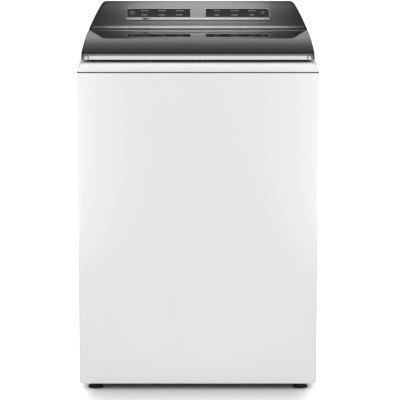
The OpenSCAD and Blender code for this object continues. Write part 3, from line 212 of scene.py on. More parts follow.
def galvanised_steel():
    # Hot-dip galvanised sheet: grey, with crystals about 9 mm across that catch the light each their own way.
    material, tree = new_finish("galvanised_steel")
    place = add(tree, "TexCoord").outputs["Object"]
    spangle = add(tree, "TexVoronoi", {"Scale": pattern_scale(9)}, {"Vector": place})
    level = add(tree, "SeparateColor", links={"Color": spangle.outputs["Color"]}).outputs["Red"]
    tone = add(tree, "Mix", {"data_type": "RGBA", 6: linear("A3A6A8"), 7: linear("C3C6C8")}, {0: level})
    gloss = add(tree, "MapRange", {"To Min": 0.38, "To Max": 0.55}, {"Value": level})
    shader = add(tree, "BsdfPrincipled", {"Metallic": 0.9},
                 {"Base Color": tone.outputs[2], "Roughness": gloss.outputs["Result"]})
    add(tree, "OutputMaterial", links={"Surface": shader.outputs["BSDF"]})
    return material


def circuit_board():
    # Solder-masked board: glossy green with paler tracks about 2 mm apart.
    material, tree = new_finish("circuit_board")
    place = add(tree, "TexCoord").outputs["Object"]
    tracks = add(tree, "TexBrick", {"Scale": pattern_scale(8), "Color1": linear("0E5A36"),
                                    "Color2": linear("11653D"), "Mortar": linear("2A8A58"),
                                    "Mortar Size": 0.03}, {"Vector": place})
    shader = add(tree, "BsdfPrincipled", {"Roughness": 0.35}, {"Base Color": tracks.outputs["Color"]})
    add(tree, "OutputMaterial", links={"Surface": shader.outputs["BSDF"]})
    return material


# How far brushing draws the grain out across the machine, and rolling round the drum
BRUSHED, ROLLED = (0.05, 1, 1), (1, 1, 12)

finishes = {
    "white_enamel": white_enamel(),
    # Fine-grained ABS of the top cover: as white as the enamel, with softer highlights.
    "white_plastic": moulded("white_plastic", "EFEFEF", "ECECED", 0.34, 3),
    "dark_metallic": dark_metallic(),
    "tinted_glass": tinted_glass(),
    # Satin ABS of the lid's frame: a quiet dark edge round the glass.
    "dark_plastic": moulded("dark_plastic", "2B2D2F", "242628", 0.36, 2),
    # Brushed and anodised aluminium: its lines stretch every highlight along the lid's front.
    "silver_trim": metal("silver_trim", "C3C4C5", "BABBBC", 0.22, 0.8, BRUSHED),
    "display_lens": display_lens(),
    "galvanised_steel": galvanised_steel(),
    # Rolled and pierced stainless sheet: a soft grey gleam with lines round the drum.
    "stainless_steel": metal("stainless_steel", "C9CACB", "BDBEC0", 0.3, 1.0, ROLLED),
    # Drawn and nickel-plated steel: rods, springs and shafts with bright, sharp lines of light.
    "bright_steel": metal("bright_steel", "CDCECF", "BBBCBE", 0.28, 1.5),
    # Sand-cast aluminium: a grainy skin with dull highlights.
    "cast_aluminium": metal("cast_aluminium", "B0B2B4", "9DA0A2", 0.5, 1.2, relief_mm=0.08),
    # Talc-filled polypropylene of the tub: a cloudy pale grey with a coarse skin.
    "tub_plastic": moulded("tub_plastic", "DCDEDF", "D2D4D6", 0.5, 2, 0.05),
    # Dyed polypropylene of the wash plate: a cool satin grey.
    "wash_plastic": moulded("wash_plastic", "BFC4C8", "B6BBC0", 0.4, 2),
    # Welded polypropylene of the balance ring: a satin grey between the tub's and the wash plate's.
    "ring_plastic": moulded("ring_plastic", "C8CBCD", "C0C3C6", 0.42, 2),
    # Undyed nylon: a warm, waxy off-white.
    "natural_nylon": moulded("natural_nylon", "E6E4DA", "DCDACF", 0.45, 2),
    # Moulded EPDM rubber: matt black with almost no highlight.
    "black_rubber": moulded("black_rubber", "222222", "191919", 0.7, 1.5, 0.08),
    # Glass-filled nylon: black with a dry sheen.
    "black_plastic": moulded("black_plastic", "202122", "18191A", 0.5, 2),
    "circuit_board": circuit_board(),
    # Dip-painted steel of the motor: black with soft, slightly uneven highlights.
    "motor_black": moulded("motor_black", "2A2B2D", "1F2022", 0.4, 3, 0.04),
}
# Silver-painted ABS of the bezel, brushed look: mid grey, darker than the trim.
bezel_satin = metal("bezel_satin", "707172", "67686A", 0.3, 0.8, BRUSHED)
# Turned-over edge of the bezel: the same paint, without lines, a little lighter as a painted highlight.
rim_satin = metal("rim_satin", "7C7E80", "747678", 0.34, 0.8)
# Band and rear bead: silver, made lighter than the bezel's as a painted highlight; the brightest on the
# console.
highlight_silver = metal("highlight_silver", "8E8F90", "858688", 0.28, 0.8, BRUSHED)
# Painted shadow along the windows' upper edges, and the band mark's print: darker than the lens.
brow_shadow_and_print = moulded("brow_shadow_and_print", "101011", "0A0A0B", 0.3, 2)
# Grey screen print behind the lens: flat and pale.
mark_print = moulded("mark_print", "8F9193", "868889", 0.5, 2)

for node in nodes.values():
    for slot in node.material_slots:
        slot.material = finishes[slot.material.name]
nodes["display_bezel"].material_slots[0].material = bezel_satin
# painted shade: the strike is made black plastic so that the gap under the lid's middle reads dark
nodes["lid_strike"].material_slots[0].material = finishes["black_plastic"]


# ---- building pieces ----

# Edges sharper than this stay crisp, and points nearer each other than this are welded.
CRISP = math.radians(32)
WELD = 0.01


def box_mm(name):
    """The low and high corners of a node's box, in millimetres."""
    return [[c / MM for c in corner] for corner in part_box(name)]


def make_piece(name, shape, finish, body="cabinet"):
    """Makes a piece from a bmesh in millimetres. It rides a body, or is left without one if body is None."""
    bmesh.ops.scale(shape, vec=(MM, MM, MM), verts=shape.verts)
    bmesh.ops.recalc_face_normals(shape, faces=shape.faces)
    for edge in shape.edges:
        edge.smooth = len(edge.link_faces) == 2 and edge.calc_face_angle() < CRISP
    for face in shape.faces:
        face.smooth = True
    mesh = bpy.data.meshes.new(name)
    shape.to_mesh(mesh)
    shape.free()
    mesh.materials.append(finish)
    piece = bpy.data.objects.new(name, mesh)
    scene.collection.objects.link(piece)
    if body:
        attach(piece, body)
    return piece


def loft(shape, sections, closed=False):
    """Skins a row of sections that all have the same number of points."""
    rows = [[shape.verts.new(point) for point in section] for section in sections]
    count = len(rows[0])
    for row, following in zip(rows, rows[1:]):
        for i in range(count if closed else count - 1):
            j = (i + 1) % count
            shape.faces.new((row[i], row[j], following[j], following[i]))
    return rows


def loft_bar(shape, sections):
    """Skins closed sections into a bar with both ends filled."""
    rows = loft(shape, sections, closed=True)
    shape.faces.new(rows[0])
    shape.faces.new(rows[-1])


def loft_loop(shape, sections):
    """Skins closed sections that go all the way round, the last joined to the first."""
    loft(shape, sections + [sections[0]], closed=True)
    bmesh.ops.remove_doubles(shape, verts=shape.verts, dist=WELD)


def arc(centre, radius, start, end, steps):
    """Points on a circle from one angle to another, in degrees."""
    return [(centre[0] + radius * math.cos(math.radians(start + (end - start) * i / steps)),
             centre[1] + radius * math.sin(math.radians(start + (end - start) * i / steps)))
            for i in range(steps + 1)]


def round_angles(count):
    """Angles that share a full turn evenly."""
    return [math.tau * k / count for k in range(count)]


# ---- console ----

# The console as its solid has it, but for the larger lip
(_, CONSOLE_FRONT, _), (SIDE_X, CONSOLE_REAR, CONSOLE_TOP) = box_mm("console_fascia")
FACE_SLOPE = math.radians(20.2)
# Where the face's line would meet the console's front
FACE_CORNER_Z = 1011.92
LIP_R, RIDGE_R = 50.0, 12.0
# The arc of the right side: its middle, its radius and where it starts
BOW_X, BOW_Z, BOW_R, BOW_START_Z = -9.07, 881.9, 367.0, 1009.6
# The shoulder between the face and the bowed side: its radius grows on its way up to the top.
SHOULDER_R, SHOULDER_GROWTH, SHOULDER_FROM_Z = 7.0, 15.0, 1000.0
SHELL_T = 3.0
# Lengths under this count as nothing.
TINY = 1e-6
# The deck that the console stands on: its front edge and its rise to the rear
DECK_FRONT_Y = box_mm("top_cover")[0][1]
DECK_FRONT_Z, DECK_RISE = 955.0, math.radians(3.6)

# How finely the upright wall, the bowed side, the shoulder, the lip and the ridge are divided
WALL_STEPS, BOW_STEPS, SHOULDER_STEPS, LIP_STEPS, RIDGE_STEPS = 2, 8, 7, 18, 14
# Where the face is divided up its slope and from side to middle, and where it is open behind the bezel
FACE_UPS = (46, 59, 72, 90, 108, 126, 143, 160, 180)
FACE_XS = (270, 244, 218, 164, 110, 55, 0)
OPEN_LOW, OPEN_HIGH, OPEN_HALF_W = 72, 143, 218
# The opening in the rear wall, behind the sheet cover
REAR_HALF_W, REAR_LOW, REAR_HIGH = 268.0, 1008.0, 1063.0


def deck_height(y):
    """The top of the sloping deck at one depth."""
    return DECK_FRONT_Z + (y - DECK_FRONT_Y) * math.tan(DECK_RISE)


def on_face(across, up, out):
    """A point of the console's face: across it, up its slope and out of it."""
    c, s = math.cos(FACE_SLOPE), math.sin(FACE_SLOPE)
    return (across, CONSOLE_FRONT + up * c - out * s, FACE_CORNER_Z + up * s + out * c)


def console_section(y, height):
    """The console's outline at one depth: up the bowed side, round the shoulder and over to the middle."""
    grown = max(0.0, (height - SHOULDER_FROM_Z) / (CONSOLE_TOP - SHOULDER_FROM_Z))
    shoulder = SHOULDER_R + SHOULDER_GROWTH * grown ** 3
    cz = height - shoulder
    cx = min(SIDE_X - shoulder, BOW_X + math.sqrt((BOW_R - shoulder) ** 2 - (cz - BOW_Z) ** 2))
    start = math.degrees(math.asin((BOW_START_Z - BOW_Z) / BOW_R))
    lean = math.degrees(math.atan2(cz - BOW_Z, cx - BOW_X))
    bowed = lean > start and cx < SIDE_X - shoulder - TINY
    wall_top = BOW_START_Z if bowed else cz
    deck = deck_height(y)
    right = [(SIDE_X, deck + (wall_top - deck) * i / WALL_STEPS) for i in range(WALL_STEPS + 1)]
    if bowed:
        right += arc((BOW_X, BOW_Z), BOW_R, start, lean, BOW_STEPS)
    else:
        right += [(SIDE_X, wall_top)] * (BOW_STEPS + 1)
    right += arc((cx, cz), shoulder, lean if bowed else 0.0, 90, SHOULDER_STEPS)
    right += [(x, height) for x in FACE_XS]
    left = [(-x, z) for x, z in reversed(right)]
    return [(x, y, z) for x, z in right + left[1:]]


def console_shell():
    """The moulded console: a rounded front lip, a flat sloping face, bowed sides and a round rear ridge."""
    slope = math.degrees(FACE_SLOPE)
    lip_y = CONSOLE_FRONT + LIP_R
    lip_z = FACE_CORNER_Z + LIP_R * (math.tan(FACE_SLOPE) - 1 / math.cos(FACE_SLOPE))
    deck_lean = math.degrees(math.asin((deck_height(CONSOLE_FRONT) - lip_z) / LIP_R))
    profile = arc((lip_y, lip_z), LIP_R, 180 - deck_lean, 90 + slope, LIP_STEPS)
    profile += [on_face(0, up, 0)[1:] for up in FACE_UPS]
    profile += arc((CONSOLE_REAR - RIDGE_R, CONSOLE_TOP - RIDGE_R), RIDGE_R, 90 + slope, 0, RIDGE_STEPS)
    shape = bmesh.new()
    rows = loft(shape, [console_section(y, z) for y, z in profile])

    # the opening behind the bezel
    first = LIP_STEPS + 1
    middle = len(rows[0]) // 2
    reach = FACE_XS.index(0) - FACE_XS.index(OPEN_HALF_W)
    for r in range(first + FACE_UPS.index(OPEN_LOW), first + FACE_UPS.index(OPEN_HIGH)):
        for c in range(middle - reach, middle + reach):
            corners = (rows[r][c], rows[r][c + 1], rows[r + 1][c + 1], rows[r + 1][c])
            shape.faces.remove(shape.faces.get(corners))

    # the rear wall round its own opening
    outer = rows[-1]
    inner = [shape.verts.new((max(-REAR_HALF_W, min(REAR_HALF_W, vert.co.x)), CONSOLE_REAR,
                              max(REAR_LOW, min(REAR_HIGH, vert.co.z)))) for vert in outer]
    for i in range(len(outer) - 1):
        shape.faces.new((outer[i], outer[i + 1], inner[i + 1], inner[i]))
    shape.faces.new((outer[-1], outer[0], inner[0], inner[-1]))
    bmesh.ops.remove_doubles(shape, verts=shape.verts, dist=WELD)

    piece = make_piece("console_shell", shape, finishes["dark_metallic"])
    walls = piece.modifiers.new("walls", "SOLIDIFY")
    walls.thickness = SHELL_T * MM
    walls.offset = -1
    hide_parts("console_fascia")


console_shell()


# ---- display ----

# The bezel's half width, its lower and upper edge up the face, and its lower and upper corners' radii
BEZEL_HALF_W = box_mm("display_bezel")[1][0]
BEZEL_LOW, BEZEL_HIGH = 67.0, 148.0
BEZEL_LOW_R, BEZEL_HIGH_R = 3.0, 9.0
# The rim's inset from the bezel's edge, its half width, its middle's height over the face and its half height
RIM_INSET, RIM_HALF_W, RIM_OUT, RIM_HALF_H = 1.2, 1.3, 0.9, 1.1
RIM_SIDES = 8
# The band's crown, as places up the face and out of it, and where the band is divided from end to middle
BAND_CROWN = ((68.0, 0.4), (68.3, 1.4), (69.2, 2.0), (73, 2.5), (78, 2.6), (82, 2.3),
              (84.6, 1.7), (85.4, 1.0), (85.4, 0.4))
BAND_XS = (BEZEL_HALF_W - 1.6, BEZEL_HALF_W - 3, 140, 70)
# A print's thickness and corner clip, and how far the windows and the painted brow shadows stand out
PRINT_T, PRINT_CLIP = 0.3, 0.3
WINDOW_FACE, BROW_SHADOW_FACE = 0.75, 0.72


def rounded_outline(half_w, low, high, low_r, high_r, steps=6):
    """A closed outline on the face with its lower and upper corners rounded."""
    points = arc((half_w - low_r, low + low_r), low_r, -90, 0, steps)
    points += arc((half_w - high_r, high - high_r), high_r, 0, 90, steps)
    points += arc((-half_w + high_r, high - high_r), high_r, 90, 180, steps)
    return points + arc((-half_w + low_r, low + low_r), low_r, 180, 270, steps)


def display_rim():
    """A polished line that runs round the bezel."""
    outline = rounded_outline(BEZEL_HALF_W - RIM_INSET, BEZEL_LOW + RIM_INSET, BEZEL_HIGH - RIM_INSET,
                              BEZEL_LOW_R, BEZEL_HIGH_R)
    sections = []
    for i, (x, u) in enumerate(outline):
        (px, pu), (nx, nu) = outline[i - 1], outline[(i + 1) % len(outline)]
        along = Vector((nx - px, nu - pu)).normalized()
        side = Vector((along.y, -along.x)) * RIM_HALF_W
        sections.append([on_face(x + side.x * math.cos(a), u + side.y * math.cos(a),
                                 RIM_OUT + RIM_HALF_H * math.sin(a)) for a in round_angles(RIM_SIDES)])
    shape = bmesh.new()
    loft_loop(shape, sections)
    make_piece("display_rim", shape, rim_satin)


def display_band():
    """The crowned silver band below the windows."""
    stations = [-x for x in BAND_XS] + [0] + list(reversed(BAND_XS))
    shape = bmesh.new()
    rows = loft(shape, [[on_face(x, u, n) for u, n in BAND_CROWN] for x in stations])
    shape.faces.new(rows[0])
    shape.faces.new(rows[-1])
    make_piece("display_band", shape, highlight_silver)


def print_bar(shape, across, up, width, height, out):
    """A flat printed bar with a little thickness and clipped corners."""
    half_w, half_h = width / 2, height / 2
    clip = min(width, height) * PRINT_CLIP
    outline = ((-half_w + clip, -half_h), (half_w - clip, -half_h), (half_w, -half_h + clip),
               (half_w, half_h - clip), (half_w - clip, half_h), (-half_w + clip, half_h),
               (-half_w, half_h - clip), (-half_w, -half_h + clip))
    loft_bar(shape, [[on_face(across + x, up + u, n) for x, u in outline] for n in (out - PRINT_T, out)])


def print_ring(shape, across, up, half_w, half_h, width, out):
    """A printed oval ring."""
    section = ((0, out - PRINT_T), (0, out), (width, out), (width, out - PRINT_T))
    ring = []
    for a in round_angles(RING_SIDES):
        ring.append([on_face(across + (half_w - inset) * math.cos(a), up + (half_h - inset) * math.sin(a), n)
                     for inset, n in section])
    loft_loop(shape, ring)


# Where each group of dashes stands across the face, and how wide its upper and its lower row are drawn
DASH_GROUPS = ((-166, 1, 1), (-113, 1, 1), (-58, 1.1, 1), (58, 0.8, 0.8), (113, 1.1, 1), (166, 1, 0.8))
# The start and width of the dashes in a group, how far up the face each row is, and a dash's height
UPPER_DASHES, UPPER_UP = ((-11, 8), (-2, 5), (4, 8)), 133.5
LOWER_DASHES, LOWER_UP = ((-10, 6), (-3, 12)), 102.0
DASH_H = 4.4
# The ring at the left: its place across and up the face, its half width and half height, and its line's width
RING, RING_SIDES = (-203, 117, 7.0, 12.0, 1.3), 28
# Single bars, as place across and up the face, width and height: one in the ring, two at the right,
# the painted shadow under each window's top, and the printed mark on the band with how far out it stands
RING_BAR, RIGHT_BARS = (-203, 121, 1.8, 9), ((201, 123, 12, 3.0), (201, 114, 6, 3.0))
BROW_SHADOWS = ((-121.7, 141.0, 194.0, 6.6), (121.7, 141.0, 194.0, 6.6))
BAND_MARK, BAND_MARK_FACE = (-162, 72, 17, 6.5), 2.9


def dash_row(shape, middle, up, dashes, stretch):
    """One row of a group's dashes, drawn wider or narrower about the group's middle."""
    for start, width in dashes:
        print_bar(shape, middle + (start + width / 2) * stretch, up, width * stretch, DASH_H, WINDOW_FACE)


def display_marks():
    """Pale marks behind the windows: two rows of dashes, a ring at the left and a small mark at the right."""
    shape = bmesh.new()
    for middle, upper, lower in DASH_GROUPS:
        dash_row(shape, middle, UPPER_UP, UPPER_DASHES, upper)
        dash_row(shape, middle, LOWER_UP, LOWER_DASHES, lower)
    print_ring(shape, *RING, WINDOW_FACE)
    for bar in (RING_BAR,) + RIGHT_BARS:
        print_bar(shape, *bar, WINDOW_FACE)
    make_piece("display_marks", shape, mark_print)


def display_brow():
    """Painted shadow along the top of each window, and the small dark printed mark on the band."""
    shape = bmesh.new()
    for brow in BROW_SHADOWS:
        print_bar(shape, *brow, BROW_SHADOW_FACE)
    print_bar(shape, *BAND_MARK, BAND_MARK_FACE)
    make_piece("display_brow", shape, brow_shadow_and_print)


display_rim()
display_band()
display_marks()
display_brow()


# ---- lid and seam ----

# The lid's rear edge: its half width, its depth and its height
LID_HALF_W, LID_REAR = box_mm("lid_frame")[1][:2]
LID_REAR_Z = 1009.6
# The bead's radius, its middle's place before and below the lid's rear edge, and how much shorter it ends
BEAD_R, BEAD_INSET, BEAD_SUNK, BEAD_SHORT = 2.2, 3.2, 2.0, 8.0
# How many sides its section has, and where it is divided between its middle and its end
BEAD_SIDES, BEAD_STATION = 10, 160
# The polished end caps of the front trim and the notch on each side of a cap: from low to high across and up,
# with their front, their rounding and the face that they stand on
TRIM_FACE = -325
CAP_XS, CAP_FRONT, CAP_ZS, CAP_ROUND = (316.6, 324.4), -329.6, (967.6, 978.2), 1.6
NOTCH_XS, NOTCH_FRONT, NOTCH_ZS, NOTCH_ROUND = ((312.6, 316.0), (325.0, 329.2)), -328.7, (966.4, 979.6), 0.6


def lid_rear_bead():
    """A silver bead along the lid's rear edge that stands in for the edge's highlight: a painted highlight.
    """
    ring = [(LID_REAR - BEAD_INSET + BEAD_R * math.cos(a), LID_REAR_Z - BEAD_SUNK + BEAD_R * math.sin(a))
            for a in round_angles(BEAD_SIDES)]
    end = LID_HALF_W - BEAD_SHORT
    shape = bmesh.new()
    loft_bar(shape, [[(x, y, z) for y, z in ring] for x in (-end, -BEAD_STATION, 0, BEAD_STATION, end)])
    make_piece("lid_rear_bead", shape, highlight_silver, "lid")


def rounded_block(shape, low, high, corner):
    """A block with every edge rounded."""
    made = bmesh.ops.create_cube(shape, size=1)["verts"]
    bmesh.ops.scale(shape, vec=[b - a for a, b in zip(low, high)], verts=made)
    bmesh.ops.translate(shape, vec=[(a + b) / 2 for a, b in zip(low, high)], verts=made)
    edges = list({edge for vert in made for edge in vert.link_edges})
    bmesh.ops.bevel(shape, geom=edges, offset=corner, segments=3, profile=0.5, affect="EDGES")


def trim_ends():
    """The polished caps at the ends of the lid's front trim and the dark notches beside them."""
    caps, notches = bmesh.new(), bmesh.new()
    for side in (-1, 1):
        blocks = [(caps, CAP_XS, CAP_FRONT, CAP_ZS, CAP_ROUND)]
        blocks += [(notches, xs, NOTCH_FRONT, NOTCH_ZS, NOTCH_ROUND) for xs in NOTCH_XS]
        for shape, xs, front, (bottom, top), corner in blocks:
            left, right = sorted(side * x for x in xs)
            rounded_block(shape, (left, front, bottom), (right, TRIM_FACE, top), corner)
    make_piece("trim_end_caps", caps, finishes["bright_steel"], "lid")
    make_piece("trim_end_notches", notches, rim_satin, "lid")


# The strip's section, as insets from the cabinet's side and heights over its top edge
SEAM_SHADOW_SECTION = ((-0.3, -0.7), (-0.3, 2.3), (3.8, 2.3), (3.8, 0.2), (0.1, 0.2), (0.1, -0.7))
CABINET_CORNER_R, CABINET_CORNER_STEPS = 7.0, 5


def seam_foam():
    """A dark strip between cabinet and top cover, set in the seam as painted shadow. Its lip hangs a little
    over the cabinet's edge.
    """
    low, high = box_mm("cabinet_shell")
    left, front = low[0] + CABINET_CORNER_R, low[1] + CABINET_CORNER_R
    right, rear = high[0] - CABINET_CORNER_R, high[1] - CABINET_CORNER_R
    corners = (((right, rear), 0), ((left, rear), 90), ((left, front), 180), ((right, front), 270))
    sections = []
    for inset, rise in SEAM_SHADOW_SECTION:
        outline = []
        for centre, start in corners:
            outline += arc(centre, CABINET_CORNER_R - inset, start, start + 90, CABINET_CORNER_STEPS)
        sections.append([(x, y, high[2] + rise) for x, y in outline])
    shape = bmesh.new()
    loft_loop(shape, sections)
    make_piece("seam_foam", shape, finishes["black_rubber"])


lid_rear_bead()
seam_foam()
trim_ends()


# ---- springs and hose between the cabinet and the tub ----

# A coil's radius to the middle of its wire, the wire's radius and the number of turns
SPRING_R, SPRING_WIRE, SPRING_TURNS = 16.0, 2.0, 6
# How many steps make a turn, and how many sides the wire has
SPRING_STEPS, WIRE_SIDES = 24, 8
# The hose's outer radius, the length and depth of one fold, the plain cuff at each end and the play round it
HOSE_R, FOLD_LENGTH, FOLD_DEPTH, HOSE_CUFF = 15.0, 7.0, 1.1, 14.0
CUFF_PLAY, FOLD_PLAY = 0.1, 0.2
HOSE_SIDES = 16


def hanger_springs():
    """Four round-wire coils on the hanger rods."""
    low, high = box_mm("suspension_springs")
    outer = SPRING_R + SPRING_WIRE
    count = SPRING_TURNS * SPRING_STEPS
    bottom, top = low[2] + SPRING_WIRE, high[2] - SPRING_WIRE
    wire = [(SPRING_WIRE * math.cos(a), SPRING_WIRE * math.sin(a)) for a in round_angles(WIRE_SIDES)]
    shape = bmesh.new()
    for cx in (low[0] + outer, high[0] - outer):
        for cy in (low[1] + outer, high[1] - outer):
            sections = []
            for i in range(count + 1):
                turn = math.tau * i / SPRING_STEPS
                z = bottom + (top - bottom) * i / count
                sections.append([(cx + (SPRING_R + away) * math.cos(turn),
                                  cy + (SPRING_R + away) * math.sin(turn),
                                  z + rise) for away, rise in wire])
            loft_bar(shape, sections)
    piece = make_piece("hanger_springs", shape, finishes["bright_steel"], body=None)
    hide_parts("suspension_springs")
    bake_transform(piece)


def smooth_path(points, step):
    """Points about a step apart on a smooth curve through the points given."""
    ends = [points[0] * 2 - points[1]] + points + [points[-1] * 2 - points[-2]]
    path = []
    for a, b, c, d in zip(ends, ends[1:], ends[2:], ends[3:]):
        count = max(2, round((c - b).length / step))
        for i in range(count):
            t = i / count
            path.append(0.5 * (2 * b + (c - a) * t + (2 * a - 5 * b + 4 * c - d) * t ** 2
                               + (3 * b - a - 3 * c + d) * t ** 3))
    return path + [points[-1]]


def folded_hose():
    """The corrugated drain hose from the pump to the rear wall."""
    low, high = box_mm("drain_hose")
    x, y, z = low[0] + HOSE_R, high[1], low[2] + HOSE_R
    pump_x, pump_y = high[0], low[1] + HOSE_R
    top_z = high[2] - HOSE_R
    run = pump_x - x
    route = [Vector(point) for point in (
        # out of the pump and along the base
        (pump_x, pump_y, z),
        (x + 0.5 * run, pump_y, z),
        # round the corner to the rear
        (x + 0.1 * run, pump_y + 16, z + 2),
        (x, pump_y + 44, z + 6),
        # up and level into the outlet
        (x, y - 63, top_z - 22),
        (x, y - 23, top_z),
        (x, y, top_z))]
    path = smooth_path(route, FOLD_LENGTH / 4)
    walked, total = 0.0, sum((b - a).length for a, b in zip(path, path[1:]))
    sections = []
    for i, point in enumerate(path):
        along = (path[min(i + 1, len(path) - 1)] - path[max(i - 1, 0)]).normalized()
        across = along.cross(Vector((0, 0, 1))).normalized()
        up = across.cross(along)
        walked += (point - path[i - 1]).length if i else 0.0
        if HOSE_CUFF <= walked <= total - HOSE_CUFF:
            radius = HOSE_R - FOLD_PLAY - FOLD_DEPTH * (1 - math.cos(math.tau * walked / FOLD_LENGTH))
        else:
            radius = HOSE_R - CUFF_PLAY
        sections.append([point + (across * math.cos(a) + up * math.sin(a)) * radius
                         for a in round_angles(HOSE_SIDES)])
    shape = bmesh.new()
    loft_bar(shape, sections)
    piece = make_piece("folded_hose", shape, finishes["black_rubber"], body=None)
    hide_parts("drain_hose")
    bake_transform(piece)


hanger_springs()
folded_hose()


# ---- studio ----

# How bright the white surroundings look in gloss, by height above the horizon in degrees
SURROUND_GLOSS = ((0, 1.0), (5, 0.78), (9, 0.58), (12.6, 0.41), (14.5, 0.325), (16.3, 0.233),
                  (18.2, 0.165), (20.1, 0.086), (22.5, 0.05), (32, 0.07), (44, 0.12), (60, 0.08), (90, 0.05))
# The even light from all round
AMBIENT = 0.51


def studio_surroundings():
    """White round the machine, dimming to a dark ceiling that only gloss shows, and one even light."""
    world = bpy.data.worlds.new("studio")
    world.use_nodes = True
    tree = world.node_tree
    tree.nodes.clear()
    direction = add(tree, "TexCoord").outputs["Generated"]
    height = add(tree, "SeparateXYZ", links={"Vector": direction}).outputs["Z"]
    ceiling = add(tree, "ValToRGB", links={"Fac": height})
    stops = ceiling.color_ramp.elements
    for degrees, level in SURROUND_GLOSS[1:-1]:
        stops.new(math.sin(math.radians(degrees)))
    for stop, (degrees, level) in zip(stops, SURROUND_GLOSS):
        stop.color = (level, level, level, 1)
    path = add(tree, "LightPath")
    seen = add(tree, "Math", {"operation": "MAXIMUM"},
               {0: path.outputs["Is Glossy Ray"], 1: path.outputs["Is Transmission Ray"]})
    shown = add(tree, "Mix", {"data_type": "FLOAT", 2: AMBIENT},
                {0: seen.outputs[0], 3: ceiling.outputs["Color"]})
    white = add(tree, "Mix", {"data_type": "FLOAT", 3: 1.0},
                {0: path.outputs["Is Camera Ray"], 2: shown.outputs[0]})
    light = add(tree, "Background", {"Color": linear("FFFFFF")}, {"Strength": white.outputs[0]})
    add(tree, "OutputWorld", links={"Surface": light.outputs["Background"]})
    scene.world = world


studio_surroundings()


def lamp(name, at, towards, size, power, shape="RECTANGLE"):
    """An area lamp that faces a point."""
    data = bpy.data.lights.new(name, "AREA")
    data.shape = shape
    data.size, data.size_y = size
    data.energy = power
    light = bpy.data.objects.new(name, data)
    light.location = at
    light.rotation_euler = (Vector(towards) - Vector(at)).to_track_quat("-Z", "Y").to_euler()
    light.visible_camera = False
    scene.collection.objects.link(light)
    return light


def flag(light, pieces):
    """Keeps a lamp's light on a few pieces, as flags do in a studio."""
    lit = bpy.data.collections.new(light.name + "_on")
    for piece in pieces:
        lit.objects.link(piece)
    light.light_linking.receiver_collection = lit


def flagged_card(light, pieces):
    """A small card that only shows in the gloss of a few pieces."""
    light.visible_diffuse = False
    flag(light, pieces)


# The pieces that small cards are set for
CONSOLE_PARTS = [bpy.data.objects[name] for name in
                 ("console_shell", "display_rim", "display_band", "display_marks", "lid_rear_bead")]
CONSOLE_PARTS.append(nodes["display_bezel"])
TRIM_PARTS = [bpy.data.objects[name] for name in ("trim_end_caps", "trim_end_notches")]
TRIM_PARTS.append(nodes["lid_front_trim"])
# The pieces seen down the lid opening
DRUM_PARTS = [nodes[name] for name in
              ("basket", "balance_ring", "basket_hub", "wash_plate", "wash_plate_cap", "tub_ring")]
WHITE_PARTS = [nodes["cabinet_shell"], nodes["top_cover"]]

# Oval cards for the console: where each is, the point it faces, its width and height, and its watts
CONSOLE_CARDS = (
    # the light line at the top of the face
    ("ridge_card", (0, 0.51, 1.285), (0, 0.282, 1.069), (0.66, 0.04), 0.085),
    # the sheen in the middle of the face
    ("console_card", (0, 0.55, 1.34), (0, 0.27, 1.065), (0.48, 0.08), 0.20),
    # the bright line along the rounded lip
    ("lip_softbox", (0, 0.36, 2.05), (0, 0.14, 1.01), (0.66, 0.36), 4.7),
    # the face as the lid mirrors it
    ("rear_card", (0, 1.24, 1.64), (0, 0.22, 1.05), (0.5, 0.16), 0.3),
    # the face between the display and the lip
    ("apron_card", (0, 0.49, 1.52), (0, 0.165, 1.02), (0.56, 0.09), 0.15),
)


def light_studio():
    """Two large softboxes for the whole machine, and flagged cards and strips for single pieces."""
    # the top and the front, without a mirror image in the gloss
    lamp("ceiling_softbox", (0, -0.3, 3.4), (0, 0, 0.5), (1.6, 2.4), 18).visible_glossy = False
    lamp("front_softbox", (0, -4.6, 4.0), (0, 0, 0.6), (3.0, 2.0), 92).visible_glossy = False
    for name, at, towards, size, power in CONSOLE_CARDS:
        flagged_card(lamp(name, at, towards, size, power, "ELLIPSE"), CONSOLE_PARTS)
    # the bright line along the lid's front trim
    flagged_card(lamp("trim_card", (0, -2.3, 3.3), (0, -0.33, 0.97), (3.0, 0.9), 3.4), TRIM_PARTS)
    # the rounded upright edges of the cabinet
    for name, side in (("edge_strip_left", -1), ("edge_strip_right", 1)):
        strip = lamp(name, (side * 0.45, -0.46, 0.72), (side * 0.34, -0.335, 0.72), (0.06, 0.62), 0.16)
        strip.visible_glossy = False
        flag(strip, WHITE_PARTS)
    # the white deck round the lid
    flag(lamp("deck_softbox", (0, -0.6, 2.6), (0, -0.3, 0.95), (0.9, 0.5), 1.8), [nodes["top_cover"]])
    # the foot of the front panel
    low_strip = lamp("low_strip", (0, -0.555, 0.04), (0, -0.355, 0.04), (0.62, 0.04), 0.05)
    low_strip.visible_glossy = False
    flag(low_strip, [nodes["cabinet_shell"]])
    # down the opening, for when the lid is up
    flag(lamp("drum_softbox", (0, -0.25, 2.6), (0, 0, 0.6), (1.2, 1.2), 26), DRUM_PARTS)


light_studio()


# How far from the machine's middle the paper keeps its shadow and painted shade, and how square its outline
# is that way
SHADOW_REACH = (("X", 0.352, 16), ("Y", 0.68, 4))
# Where the shadow starts to fade and where it is gone, on a scale that is 1 at the reach
FADE_FROM, FADE_TO = 0.11, 0.9
FLOOR_HALF = 60


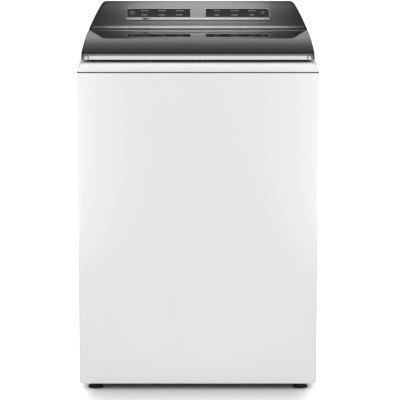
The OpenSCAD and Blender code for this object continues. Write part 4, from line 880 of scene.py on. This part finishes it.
def floor_finish():
    """White paper that keeps the shadow round the machine's foot, painted greyer there as painted shade, and
    plain white elsewhere.
    """
    material, tree = new_finish("studio_paper")
    place = add(tree, "SeparateXYZ", links={"Vector": add(tree, "TexCoord").outputs["Object"]})
    path = add(tree, "LightPath")
    seen = add(tree, "Math", {"operation": "MAXIMUM"},
               {0: path.outputs["Is Camera Ray"], 1: path.outputs["Is Glossy Ray"]})
    spread = []
    for axis, reach, power in SHADOW_REACH:
        size = add(tree, "Math", {"operation": "ABSOLUTE"}, {0: place.outputs[axis]})
        share = add(tree, "Math", {"operation": "DIVIDE", 1: reach}, {0: size.outputs[0]})
        spread.append(add(tree, "Math", {"operation": "POWER", 1: power}, {0: share.outputs[0]}).outputs[0])
    away = add(tree, "Math", {"operation": "ADD"}, {0: spread[0], 1: spread[1]})
    clear = add(tree, "MapRange", {"From Min": FADE_FROM, "From Max": FADE_TO}, {"Value": away.outputs[0]})
    glow = add(tree, "Math", {"operation": "MULTIPLY"}, {0: seen.outputs[0], 1: clear.outputs["Result"]})
    # painted shade: the paper is greyer near the machine, which deepens its shadow there
    tone = add(tree, "Mix", {"data_type": "RGBA", 6: linear("E6E6E6"), 7: linear("F4F4F4")},
               {0: clear.outputs["Result"]})
    paper = add(tree, "BsdfDiffuse", links={"Color": tone.outputs[2]})
    white = add(tree, "Emission", {"Color": linear("FFFFFF")}, {"Strength": glow.outputs[0]})
    both = add(tree, "AddShader", links={0: paper.outputs["BSDF"], 1: white.outputs["Emission"]})
    add(tree, "OutputMaterial", links={"Surface": both.outputs["Shader"]})
    return material


def lay_floor():
    """A wide sheet of paper that the machine stands on."""
    mesh = bpy.data.meshes.new("studio_floor")
    shape = bmesh.new()
    bmesh.ops.create_grid(shape, x_segments=1, y_segments=1, size=FLOOR_HALF)
    shape.to_mesh(mesh)
    shape.free()
    mesh.materials.append(floor_finish())
    floor = bpy.data.objects.new("studio_floor", mesh)
    scene.collection.objects.link(floor)


lay_floor()


# ---- camera ----

# The lens and the film's width in millimetres, the camera's place, and how far it looks down in radians
LENS, FILM_WIDTH = 206.06, 36
CAMERA_AT, CAMERA_DIP = (0.006, -6.863, 1.6426), 0.1644
# How far it sees, so that the floor ends out of sight
SIGHT = 200


def set_camera():
    """A long lens, a little above the machine and well in front of it."""
    data = bpy.data.cameras.new("camera")
    data.sensor_width = FILM_WIDTH
    data.lens = LENS
    data.clip_end = SIGHT
    camera = bpy.data.objects.new("camera", data)
    camera.location = CAMERA_AT
    camera.rotation_euler = (math.radians(90) - CAMERA_DIP, 0, 0)
    scene.collection.objects.link(camera)
    scene.camera = camera


set_camera()
scene.view_settings.view_transform = "Standard"
